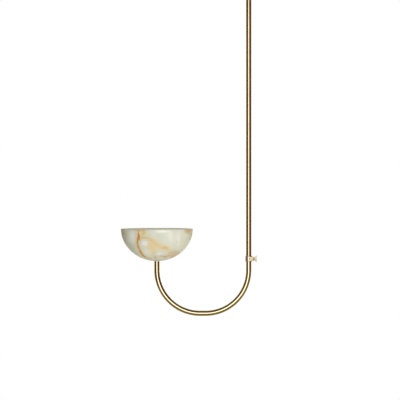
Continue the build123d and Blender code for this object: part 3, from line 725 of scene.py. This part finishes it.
def alabaster():
    """Honed stone: cloudy green-cream with amber stains and rust-coloured veins that run through the wall,
    with painted shade on its left side and along its rim and a painted highlight under the rim.
    """
    constants = {
        "Subsurface Weight": 0.1,
        "Subsurface Radius": (1.0, 0.9, 0.75),
        "Subsurface Scale": 3 * MM,
        "Coat Weight": 0.15,
        "Coat Roughness": 0.2,
    }
    material, tree, shader = new_finish("alabaster", constants)
    rim_middle = middle_of("bowl") + Vector((0.0, 0.0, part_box("bowl")[1].z))
    point, mark_point = stone_point(tree, rim_middle, radius_of("bowl"))
    broken = fade(tree, cloud(tree, point, 120.0, 4.0), 0.3, 0.6, 0.7, 1.0)
    colour, grain = stone_ground(tree, point, mark_point)
    colour = lay_stains(tree, colour, point, mark_point, broken)
    colour = lay_veins(tree, colour, point, mark_point, broken)
    # A grey line of shade painted along the rim
    colour = lay_rim_shade(tree, colour, point, broken)
    marks = use_group(tree, handling, {"Polished": 0.3, "Dull": 0.45, "Scale": 40.0})
    feed(tree, shader, {"Base Color": colour, "Roughness": marks["Roughness"]})
    add_bump(tree, shader, grain, 0.15, 0.1 * MM)
    return material


# Mesh helpers

def rounded(corners, arc_steps):
    """A closed outline through corners of (radius, height, rounding), with each rounding as an arc."""
    points = []
    for index, (radius, height, rounding) in enumerate(corners):
        here = Vector((radius, height))
        if rounding == 0:
            points.append(here)
            continue
        before = (Vector(corners[index - 1][:2]) - here).normalized()
        after = (Vector(corners[(index + 1) % len(corners)][:2]) - here).normalized()
        half = before.angle(after) / 2
        middle = here + (before + after).normalized() * (rounding / math.sin(half))
        spoke = here + before * (rounding / math.tan(half)) - middle
        turn = spoke.angle_signed(here + after * (rounding / math.tan(half)) - middle)
        for step in range(arc_steps + 1):
            points.append(middle + Matrix.Rotation(-turn * step / arc_steps, 2) @ spoke)
    return points


def finish_mesh(name, mesh_data, material, lay=None, sharp=35.0):
    """An object from a bmesh, with outward normals, smooth shading and the lay of its lines."""
    bmesh.ops.recalc_face_normals(mesh_data, faces=mesh_data.faces)
    mesh = bpy.data.meshes.new(name)
    mesh_data.to_mesh(mesh)
    mesh_data.free()
    if lay:
        attribute = mesh.attributes.new("lay", "FLOAT_VECTOR", "POINT")
        attribute.data.foreach_set("vector", [value for point in lay for value in point])
    mesh.shade_smooth()
    mesh.set_sharp_from_angle(angle=math.radians(sharp))
    mesh.materials.append(material)
    piece = bpy.data.objects.new(name, mesh)
    bpy.context.scene.collection.objects.link(piece)
    return piece


# How much slower the drawn lines change along their run than across it
LINE_STRETCH = 0.004


def ring_point(axis, radius, turn, height):
    """A point about an upright axis."""
    return axis + Vector((radius * math.cos(turn), radius * math.sin(turn), height))


def skin_rings(rings, closed_along):
    """A bmesh whose faces join rings of equal count, each ring closed on itself."""
    mesh_data = bmesh.new()
    made = [[mesh_data.verts.new(point) for point in ring] for ring in rings]
    pairs = list(zip(made, made[1:]))
    if closed_along:
        pairs.append((made[-1], made[0]))
    for low, high in pairs:
        for index in range(len(low)):
            after = (index + 1) % len(low)
            mesh_data.faces.new((low[index], low[after], high[after], high[index]))
    return mesh_data


def turned(name, outline, centre, material, steps, wobble=None, lean=None):
    """A solid of revolution about an upright axis, from a closed outline of (radius, height) points.

    With a lean it turns about another axis, and its outline is open, with both ends capped.
    """
    rings, lay, length = [], [], 0.0
    previous = outline[0]
    for radius, height in outline:
        length += math.hypot(radius - previous[0], height - previous[1])
        previous = (radius, height)
        ring = []
        for step in range(steps):
            turn = 2 * math.pi * step / steps
            spoke = Vector((radius * math.cos(turn), radius * math.sin(turn), height))
            point = centre + (lean @ spoke if lean else spoke)
            if wobble:
                point = wobble(point)
            ring.append(point)
            lay.append((length, point.x * LINE_STRETCH, point.y * LINE_STRETCH))
        rings.append(ring)
    mesh_data = skin_rings(rings, lean is None)
    if lean:
        mesh_data.verts.ensure_lookup_table()
        mesh_data.faces.new(mesh_data.verts[:steps])
        mesh_data.faces.new(mesh_data.verts[-steps:])
    return finish_mesh(name, mesh_data, material, lay)


def carved(piece, cutter):
    """The piece with the cutter's shape taken out of it."""
    cut = piece.modifiers.new("cut", "BOOLEAN")
    cut.operation = "DIFFERENCE"
    cut.solver = "EXACT"
    cut.object = cutter
    whole = piece.data
    piece.data = bpy.data.meshes.new_from_object(piece.evaluated_get(bpy.context.evaluated_depsgraph_get()))
    piece.modifiers.clear()
    bpy.data.meshes.remove(whole)
    bpy.data.meshes.remove(cutter.data)
    return piece


def gathered(name, pieces):
    """Several meshes of one finish as one piece."""
    mesh_data = bmesh.new()
    material = pieces[0].data.materials[0]
    for piece in pieces:
        mesh_data.from_mesh(piece.data)
        bpy.data.meshes.remove(piece.data)
    return finish_mesh(name, mesh_data, material, None, 30.0)


def block(name, size, lean, centre, material, edge=0.0):
    """A box with softened edges, turned by a lean."""
    mesh_data = bmesh.new()
    bmesh.ops.create_cube(mesh_data, size=1.0)
    bmesh.ops.scale(mesh_data, verts=mesh_data.verts, vec=size)
    if edge:
        edges = mesh_data.edges[:]
        bmesh.ops.bevel(mesh_data, geom=edges, offset=edge, segments=2, affect="EDGES", profile=0.5)
    bmesh.ops.transform(mesh_data, verts=mesh_data.verts, matrix=Matrix.Translation(centre) @ lean.to_4x4())
    return finish_mesh(name, mesh_data, material, None, 30.0)


TUBE_STEPS = 72


def piped(name, stations, radius, bore, material):
    """A tube along stations in the XZ plane, with both walls and softened ends.

    A station is (point, tangent, length so far), and bore is the radius of the tube's inside.
    """
    first, last = stations[0], stations[-1]
    outer = [(first, radius - TUBE_EDGE, 0.0), (first, radius, TUBE_EDGE)]
    outer += [(station, radius, 0.0) for station in stations[1:-1]]
    outer += [(last, radius, -TUBE_EDGE), (last, radius - TUBE_EDGE, 0.0)]
    inner = [(station, bore, 0.0) for station in reversed(stations)]
    rings, lay = [], []
    across = Vector((0.0, 1.0, 0.0))
    for (point, tangent, length), wall, shift in outer + inner:
        side = across.cross(tangent).normalized()
        ring = []
        for step in range(TUBE_STEPS):
            turn = 2 * math.pi * step / TUBE_STEPS
            spoke = side * math.cos(turn) + across * math.sin(turn)
            ring.append(point + tangent * shift + spoke * wall)
            lay.append((wall * math.cos(turn), wall * math.sin(turn), length * LINE_STRETCH))
        rings.append(ring)
    return finish_mesh(name, skin_rings(rings, True), material, lay)


def add_piece(piece, body, slot, *nodes):
    """Lets a piece ride on its body and stand for its nodes, which are hidden; the slot is not used."""
    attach(piece, body)
    if nodes:
        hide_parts(*nodes)
    return piece


# Pieces

STRAIGHT_STEPS = 24
BEND_STEPS = 72


def straight_run(start, end, length_before):
    """Stations along a straight stretch of tube."""
    tangent = (end - start).normalized()
    reach = (end - start).length
    shares = [step / STRAIGHT_STEPS for step in range(STRAIGHT_STEPS + 1)]
    return [(start + tangent * reach * share, tangent, length_before + reach * share) for share in shares]


def bend_run(middle, radius, start_angle, end_angle, length_before):
    """Stations along a bend in the XZ plane, with angles from +X towards +Z."""
    stations = []
    for step in range(1, BEND_STEPS):
        angle = start_angle + (end_angle - start_angle) * step / BEND_STEPS
        spoke = Vector((math.cos(angle), 0.0, math.sin(angle)))
        tangent = Vector((math.sin(angle), 0.0, -math.cos(angle)))
        length = length_before + radius * abs(angle - start_angle)
        stations.append((middle + spoke * radius, tangent, length))
    return stations


def make_drop_rod(brass):
    """The straight rod from the ceiling bracket down to the swivel."""
    low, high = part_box("drop_rod")
    axis = middle_of("drop_rod")
    stations = straight_run(axis + Vector((0, 0, high.z)), axis + Vector((0, 0, low.z)), 0.0)
    rod = piped("hanging_rod", stations, radius_of("drop_rod"), TUBE_BORE / 2, brass)
    add_piece(rod, "ceiling_fixing", "satin_brass", "drop_rod")


def make_arm(brass):
    """The J-shaped arm: down, a quarter bend, a short run, a quarter bend and up to the bowl."""
    low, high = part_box("arm_tube")
    tube_radius = radius_of("arm_tube")
    bowl_x = middle_of("bowl").x
    arm_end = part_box("bowl_seat_washer")[0].z
    bend_height = low.z + tube_radius + BEND_RADIUS
    bottom = low.z + tube_radius
    stations = straight_run(Vector((0, 0, high.z)), Vector((0, 0, bend_height)), 0.0)
    length = high.z - bend_height
    stations += bend_run(Vector((-BEND_RADIUS, 0, bend_height)), BEND_RADIUS, 0.0, -math.pi / 2, length)
    length += BEND_RADIUS * math.pi / 2
    run_end = bowl_x + BEND_RADIUS
    stations += straight_run(Vector((-BEND_RADIUS, 0, bottom)), Vector((run_end, 0, bottom)), length)
    length += -BEND_RADIUS - run_end
    stations += bend_run(Vector((run_end, 0, bend_height)), BEND_RADIUS, -math.pi / 2, -math.pi, length)
    length += BEND_RADIUS * math.pi / 2
    stations += straight_run(Vector((bowl_x, 0, bend_height)), Vector((bowl_x, 0, arm_end)), length)
    arm = piped("bent_arm", stations, tube_radius, TUBE_BORE / 2, brass)
    add_piece(arm, "swivel_arm", "satin_brass", "arm_tube")


BOWL_STEPS = 256
BOWL_ARC_STEPS = 80
RIM_ARC_STEPS = 8
HAND_FINISH = 0.12 * MM
HAND_FINISH_SCALE = 22.0
HAND_FINISH_SEED = 6


def bowl_wobble(point):
    """The slight unevenness of stone that was finished by hand."""
    shift = noise.noise_vector(point * HAND_FINISH_SCALE) * HAND_FINISH
    return point + Vector((shift.x, shift.y, 0.0))


def make_bowl(stone):
    """The half-bowl, with a rounded rim, a flat seat inside and out and a hole for its nipple."""
    low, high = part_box("bowl")
    axis = middle_of("bowl")
    radius = radius_of("bowl")
    rim, seat = high.z, low.z
    inner_radius, inner_depth = radius - BOWL_WALL, BOWL_DEPTH - BOWL_FLOOR

    def wall_arc(wide, deep, start_radius, end_height):
        """Points up a wall, from the edge of its flat seat to where the rim's rounding begins."""
        start = math.asin(start_radius / wide)
        end = math.acos(end_height / deep)
        turns = [start + (end - start) * step / BOWL_ARC_STEPS for step in range(BOWL_ARC_STEPS + 1)]
        return [Vector((wide * math.sin(turn), rim - deep * math.cos(turn))) for turn in turns]

    outside = wall_arc(radius, BOWL_DEPTH, BOWL_SEAT_RADIUS, BOWL_RIM_ROUND)
    inside = wall_arc(inner_radius, inner_depth, BOWL_PLATE_SEAT_RADIUS, BOWL_RIM_ROUND)
    rim_line = rounded(
        [(radius, rim - 2 * BOWL_RIM_ROUND, 0), (radius, rim, BOWL_RIM_ROUND),
         (inner_radius, rim, BOWL_RIM_ROUND), (inner_radius, rim - 2 * BOWL_RIM_ROUND, 0)],
        RIM_ARC_STEPS,
    )[1:-1]
    plate_seat = rim - inner_depth
    bottom = [
        Vector((BOWL_PLATE_SEAT_RADIUS, plate_seat)),
        Vector((BOWL_HOLE_RADIUS, plate_seat)),
        Vector((BOWL_HOLE_RADIUS, seat)),
        Vector((BOWL_SEAT_RADIUS, seat)),
    ]
    outline = outside + rim_line + list(reversed(inside)) + bottom
    noise.seed_set(HAND_FINISH_SEED)
    bowl = turned("stone_bowl", [tuple(point) for point in outline], axis, stone, BOWL_STEPS, bowl_wobble)
    bowl.visible_glossy = False  # keeps the pale stone out of the tube's dark reflections
    add_piece(bowl, "swivel_arm", "alabaster", "bowl")


CANOPY_STEPS = 192
CANOPY_ARC_STEPS = 10


def make_canopy(brass):
    """The spun ceiling cover, with a hem turned in at its open edge."""
    low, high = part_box("canopy")
    axis = middle_of("canopy")
    radius = radius_of("canopy")
    wall = radius - CANOPY_WALL
    corners = [
        (CANOPY_HOLE_RADIUS, low.z, CANOPY_HOLE_EDGE),
        (radius, low.z, CANOPY_ROUND),
        (radius, high.z, CANOPY_HEM_ROUND),
        (radius - CANOPY_HEM, high.z, CANOPY_HEM_ROUND),
        (radius - CANOPY_HEM, high.z - CANOPY_HEM, CANOPY_HEM_ROUND),
        (wall, high.z - CANOPY_HEM, 0),
        (wall, low.z + CANOPY_WALL, CANOPY_ROUND - CANOPY_WALL),
        (CANOPY_HOLE_RADIUS, low.z + CANOPY_WALL, CANOPY_HOLE_EDGE),
    ]
    outline = [tuple(point) for point in rounded(corners, CANOPY_ARC_STEPS)]
    canopy = turned("ceiling_cover", outline, axis, brass, CANOPY_STEPS)
    add_piece(canopy, "canopy_cover", "satin_brass", "canopy")


NUT_STEPS = 96
NUT_CHAMFER = math.radians(30)
# The round face that the chamfer leaves, as a share of the nut's width across its flats
NUT_FACE = 0.99


def make_nut(name, node, body, slot, material):
    """A hex nut with both faces chamfered, as turned nuts are."""
    low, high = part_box(node)
    axis = middle_of(node)
    flat_radius = min(high.x - low.x, high.y - low.y) / 2
    face_radius = NUT_FACE * flat_radius
    corner_turn = 0.0 if high.x - low.x > high.y - low.y else math.pi / 6
    rings = [[], [], [], [], [], []]
    for step in range(NUT_STEPS):
        turn = 2 * math.pi * step / NUT_STEPS
        from_flat = (turn - corner_turn) % (math.pi / 3) - math.pi / 6
        side = flat_radius / math.cos(from_flat)
        drop = max(0.0, side - face_radius) * math.tan(NUT_CHAMFER)
        levels = [
            (NUT_BORE / 2, high.z), (face_radius, high.z), (side, high.z - drop),
            (side, low.z + drop), (face_radius, low.z), (NUT_BORE / 2, low.z),
        ]
        for ring, (radius, height) in zip(rings, levels):
            ring.append(ring_point(axis, radius, turn, height))
    nut = finish_mesh(name, skin_rings(rings, True), material, None, 20.0)
    add_piece(nut, body, slot, node)


THREAD_STEPS = 48
RINGS_PER_PITCH = 6


def make_nipple(name, node, body, slot, material):
    """A hollow nipple with a cut thread over its whole length and chamfered ends."""
    low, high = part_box(node)
    axis = middle_of(node)
    radius = radius_of(node)
    turns = [2 * math.pi * step / THREAD_STEPS for step in range(THREAD_STEPS)]
    count = int((high.z - low.z) / THREAD_PITCH * RINGS_PER_PITCH)
    rings = []
    for level in range(count + 1):
        height = low.z + (high.z - low.z) * level / count
        chamfer = THREAD_DEPTH - min(height - low.z, high.z - height)
        ring = []
        for step, turn in enumerate(turns):
            phase = (height / THREAD_PITCH - step / THREAD_STEPS) % 1.0
            wall = radius - max(THREAD_DEPTH * abs(2 * phase - 1), chamfer)
            ring.append(ring_point(axis, wall, turn, height))
        rings.append(ring)
    for height in (high.z, low.z):
        rings.append([ring_point(axis, NIPPLE_BORE / 2, turn, height) for turn in turns])
    nipple = finish_mesh(name, skin_rings(rings, True), material, None, 60.0)
    add_piece(nipple, body, slot, node)


SCREW_STEPS = 48
DOME_STEPS = 4
# Forms of a screw, as shares of its head's radius, and the upright part of a head's height
SCREW_EDGE = 0.12
SCREW_SLOT = 0.3
HEAD_UPRIGHT = 0.4


def slotted_screw(tip, direction, shank, head, material):
    """A screw from its tip onwards, with a slot across its end. Shank and head are (radius, length)."""
    lean = direction.to_track_quat("Z", "Y").to_matrix()
    (shank_radius, shank_length), (head_radius, head_length) = shank, head
    edge = SCREW_EDGE * head_radius
    outline = [(shank_radius - edge, 0.0), (shank_radius, edge), (shank_radius, shank_length)]
    if head_radius > shank_radius:
        outline += [(head_radius, shank_length), (head_radius, shank_length + HEAD_UPRIGHT * head_length)]
    top = shank_length + head_length
    for step in range(DOME_STEPS + 1):
        turn = math.pi / 2 * step / DOME_STEPS
        outline.append((head_radius - 2 * edge * (1 - math.cos(turn)), top - 2 * edge * (1 - math.sin(turn))))
    screw = turned("screw", outline, tip, material, SCREW_STEPS, lean=lean)
    # The cutter stands half above the head, so the slot is half as deep as the cutter is tall
    slot_size = (SCREW_SLOT * head_radius, 3 * head_radius, max(head_length, head_radius))
    return carved(screw, block("slot", slot_size, lean, tip + direction * top, material))


def make_earth_screw(steel):
    """The earth screw, which stands in the bracket with its head up."""
    low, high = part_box("earth_screw")
    tip = middle_of("earth_screw") + Vector((0, 0, low.z))
    shank = (EARTH_SCREW_RADIUS, high.z - EARTH_HEAD_HEIGHT - low.z)
    head = (radius_of("earth_screw"), EARTH_HEAD_HEIGHT)
    screw = slotted_screw(tip, Vector((0, 0, 1)), shank, head, steel)
    add_piece(gathered("earth_slotted_screw", [screw]), "ceiling_fixing", "zinc_steel", "earth_screw")


def make_terminal_screws(steel):
    """Two headless screws for each pole of the terminal block, one at either side."""
    low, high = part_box("terminal_screws")
    radius = (high.z - low.z) / 2
    axis = middle_of("terminal_screws") + Vector((0, 0, (low.z + high.z) / 2))
    shank = (radius, TERMINAL_SCREW_LENGTH - TERMINAL_SCREW_END)
    slotted_end = (radius, TERMINAL_SCREW_END)
    screws = []
    for pole in (-1, 0, 1):
        for side in (-1, 1):
            tip = axis + Vector((side * (high.x - axis.x - TERMINAL_SCREW_LENGTH), pole * TERMINAL_PITCH, 0))
            screws.append(slotted_screw(tip, Vector((side, 0, 0)), shank, slotted_end, steel))
    add_piece(gathered("terminal_set_screws", screws), "ceiling_fixing", "zinc_steel", "terminal_screws")


def make_lampholder_screws(steel):
    """Two cheese-head screws that hold the strap to the lampholder."""
    low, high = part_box("lampholder_screws")
    axis = middle_of("lampholder_screws") + Vector((0, 0, (low.z + high.z) / 2))
    shank = (HOLDER_SCREW_RADIUS, HOLDER_SCREW_LENGTH - HOLDER_HEAD_HEIGHT)
    head = ((high.z - low.z) / 2, HOLDER_HEAD_HEIGHT)
    screws = []
    for side in (-1, 1):
        tip = axis + Vector((0, side * (high.y - HOLDER_SCREW_LENGTH), 0))
        screws.append(slotted_screw(tip, Vector((0, side, 0)), shank, head, steel))
    add_piece(gathered("holder_screws", screws), "swivel_arm", "zinc_steel", "lampholder_screws")


CHIP_ROWS = 7
CHIP_COLUMNS = 2
CHIP_SIZE = Vector((2.4, 0.4, 1.5)) * MM
CHIP_PITCH = Vector((3.6, 0.0, 2.5)) * MM
CHIP_EDGE = 0.1 * MM
# How far a chip's middle stands off the board, as a share of its thickness
CHIP_STAND_OFF = 0.4
BOARD_EDGE = 0.12 * MM


def make_light_board(board_finish, chip_finish):
    """The board inside the lamp, with rows of light chips on both faces."""
    low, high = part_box("lamp_board")
    centre = (low + high) / 2
    upright = Matrix.Identity(3)
    chips = []
    for row in range(CHIP_ROWS):
        for column in range(CHIP_COLUMNS):
            for face, depth in ((-1, low.y), (1, high.y)):
                chip_centre = centre + Vector((
                    (column - (CHIP_COLUMNS - 1) / 2) * CHIP_PITCH.x,
                    depth - centre.y + face * CHIP_STAND_OFF * CHIP_SIZE.y,
                    (row - (CHIP_ROWS - 1) / 2) * CHIP_PITCH.z,
                ))
                chips.append(block("chip", CHIP_SIZE, upright, chip_centre, chip_finish, CHIP_EDGE))
    add_piece(gathered("light_chips", chips), "swivel_arm", "light_board")
    board = block("lamp_circuit_board", high - low, upright, centre, board_finish, BOARD_EDGE)
    add_piece(board, "swivel_arm", "light_board", "lamp_board")


# Brass pieces whose finish isn't that of their slot
OWN_FINISHES = {"clamp_collar": "collar_brass", "thumb_screw": "cast_brass", "bowl_clamp_plate": "spun_brass"}


def dress_nodes(finishes):
    """Gives each node its finish: its slot's, or one of its own."""
    slots = {part["node"]: part["material_slot"] for part in frame["record"]["subparts"]}
    slots.update(OWN_FINISHES)
    for node, part in frame["nodes"].items():
        part.data.materials.clear()
        part.data.materials.append(finishes[slots[node]])


# Studio

def aim(lamp, target):
    """Turns a lamp towards a point."""
    lamp.rotation_euler = (target - lamp.location).to_track_quat("-Z", "Y").to_euler()


def add_area(name, width, height, centre, level, target, in_reflections):
    """An area light of a given brightness, where 1 looks white, that the camera doesn't see."""
    light = bpy.data.lights.new(name, "AREA")
    light.shape = "RECTANGLE"
    light.size = width
    light.size_y = height
    light.energy = level * math.pi * width * height
    lamp = bpy.data.objects.new(name, light)
    lamp.location = centre
    aim(lamp, target)
    lamp.visible_camera = False
    lamp.visible_glossy = in_reflections
    bpy.context.scene.collection.objects.link(lamp)


def add_softbox(name, centre, level):
    """A softbox that faces straight along the view and shows in reflections."""
    straight_on = Vector((centre.x, 0.0, centre.z))
    add_area(name, SOFTBOX_WIDTH, SOFTBOX_HEIGHT, centre, level, straight_on, True)


def add_fill(name, size, centre, level):
    """A square lamp that reflections don't show, turned towards the bowl."""
    add_area(name, size, size, centre, level, FILL_TARGET, False)


def seen_directly(tree):
    """1 for rays from the camera, and for those that metal or glass sends on."""
    path = place(tree, "LightPath").outputs
    seen = work_out(tree, "MAXIMUM", path["Is Camera Ray"], path["Is Glossy Ray"])
    return work_out(tree, "MAXIMUM", seen, path["Is Transmission Ray"])


def make_world():
    """A white surround, which lights the object more softly than it looks."""
    world = bpy.data.worlds.new("studio")
    world.use_nodes = True
    tree = world.node_tree
    surround = tree.nodes["Background"]
    level = fade(tree, seen_directly(tree), 0.0, 1.0, AMBIENT_LEVEL, 1.0)
    feed(tree, surround, {"Color": (1.0, 1.0, 1.0, 1.0), "Strength": level})
    bpy.context.scene.world = world


def make_floor():
    """A pale floor far below, which keeps the object's shadow."""
    mesh_data = bmesh.new()
    bmesh.ops.create_circle(mesh_data, cap_ends=True, segments=96, radius=FLOOR_RADIUS)
    bmesh.ops.translate(mesh_data, verts=mesh_data.verts, vec=(0.0, 0.0, FLOOR_HEIGHT))
    material, tree, shader = new_finish("pale_floor", {"Roughness": 0.9})
    feed(tree, shader, {"Base Color": tint(246, 246, 246), "Emission Color": (1.0, 1.0, 1.0, 1.0)})
    feed(tree, shader, {"Emission Strength": work_out(tree, "MULTIPLY", seen_directly(tree), FLOOR_GLOW)})
    finish_mesh("studio_floor", mesh_data, material)


def wall_colour(tree, middle):
    """The colour of the walls at each place, from the colours of their sides."""
    spot = work_out_vector(tree, "SUBTRACT", object_point(tree), middle)
    spot = place(tree, "SeparateXYZ", {"Vector": spot}).outputs
    by_arm = fade(tree, spot["Z"], BY_ARM_START, BY_ARM_END)
    right = mix_colours(tree, by_arm, RIGHT_WALL, RIGHT_WALL_BY_ARM)
    near_by = fade(tree, place(tree, "LightPath").outputs["Ray Length"], NEAR_BY_START, NEAR_BY_END)
    upper = mix_colours(tree, near_by, UPPER_WALL, UPPER_WALL_NEAR_BY)
    at_the_ends = fade(tree, work_out(tree, "ABSOLUTE", spot["Y"]), ENDS_START, ENDS_END)
    lower = mix_colours(tree, at_the_ends, LOWER_WALL, LOWER_WALL_ENDS)
    side = CORNER_END * SOFTBOX_WIDTH
    start, end = CORNER_START * SOFTBOX_HEIGHT, CORNER_END * SOFTBOX_HEIGHT
    colour = mix_colours(tree, fade(tree, spot["X"], -side, side), LEFT_WALL, right)
    colour = mix_colours(tree, fade(tree, spot["Z"], start, end), colour, upper)
    colour = mix_colours(tree, fade(tree, spot["Z"], -start, -end), colour, lower)
    return mix_colours(tree, fade(tree, spot["Y"], BEHIND_START, WALLS_BACK), colour, WALLS_BEHIND)


def make_dark_walls():
    """Dark walls between the two softboxes, round the line of sight, which give the brass its dark edges."""
    middle = Vector((SOFTBOX_CENTRE.x, 0.0, SOFTBOX_CENTRE.z))
    corners = [(-1, -1), (1, -1), (1, 1), (-1, 1)]
    rings = [
        [middle + Vector((x * SOFTBOX_WIDTH / 2, depth, z * SOFTBOX_HEIGHT / 2)) for x, z in corners]
        for depth in (WALLS_FRONT, WALLS_BACK)
    ]
    material, tree, shader = new_finish("dark_walls", {"Base Color": (0.0, 0.0, 0.0, 1.0), "Roughness": 1.0})
    feed(tree, shader, {"Emission Color": wall_colour(tree, middle), "Emission Strength": 1.0})
    walls = finish_mesh("dark_walls", skin_rings(rings, False), material)
    walls.visible_camera = False
    walls.visible_diffuse = False
    walls.visible_shadow = False
    walls.visible_transmission = False
    walls.visible_volume_scatter = False


def make_camera():
    """A long lens at the photograph's place."""
    camera = bpy.data.cameras.new("photo_view")
    camera.sensor_width = SENSOR_WIDTH
    camera.lens = SENSOR_WIDTH * VIEW_DISTANCE / VIEW_WIDTH
    camera.clip_end = 100.0
    viewer = bpy.data.objects.new("photo_view", camera)
    viewer.location = VIEW_CENTRE - Vector((0.0, VIEW_DISTANCE, 0.0))
    viewer.rotation_euler = (math.pi / 2, 0.0, 0.0)
    bpy.context.scene.collection.objects.link(viewer)
    bpy.context.scene.camera = viewer


def build():
    """Dresses the frame's nodes, adds the pieces and sets up the studio."""
    bpy.context.scene.view_settings.view_transform = "Standard"
    finishes = {
        finish.__name__: finish()
        for finish in (
            satin_brass, arm_brass_paler_for_highlight, spun_brass, collar_brass, cast_brass, raw_brass, zinc_steel,
            contact_metal, silicone, nylon, flex_sheath, core_insulation, terminal_plastic,
            holder_ceramic, lamp_ceramic, light_board, light_chip, frosted_glass, alabaster,
        )
    }
    dress_nodes(finishes)
    make_drop_rod(finishes["satin_brass"])
    # The arm takes a copy of the brass painted paler, for its whiter highlight
    make_arm(finishes["arm_brass_paler_for_highlight"])
    make_bowl(finishes["alabaster"])
    make_canopy(finishes["spun_brass"])
    make_nut("rod_hex_nut", "nipple_nut", "ceiling_fixing", "zinc_steel", finishes["zinc_steel"])
    make_nut("bowl_hex_nut", "bowl_nut", "swivel_arm", "raw_brass", finishes["raw_brass"])
    make_nipple("rod_thread", "rod_nipple", "ceiling_fixing", "zinc_steel", finishes["zinc_steel"])
    make_nipple("bowl_thread", "bowl_nipple", "swivel_arm", "zinc_steel", finishes["zinc_steel"])
    make_earth_screw(finishes["zinc_steel"])
    make_terminal_screws(finishes["zinc_steel"])
    make_lampholder_screws(finishes["zinc_steel"])
    make_light_board(finishes["light_board"], finishes["light_chip"])
    make_world()
    make_floor()
    make_dark_walls()
    add_softbox("front_softbox", SOFTBOX_CENTRE, SOFTBOX_LEVEL)
    add_fill("right_fill", FILL_SIZE, FILL_CENTRE, FILL_LEVEL)
    add_fill("top_fill", TOP_FILL_SIZE, TOP_FILL_CENTRE, TOP_FILL_LEVEL)
    add_softbox("back_softbox", BACK_SOFTBOX_CENTRE, BACK_SOFTBOX_LEVEL)
    make_camera()


build()
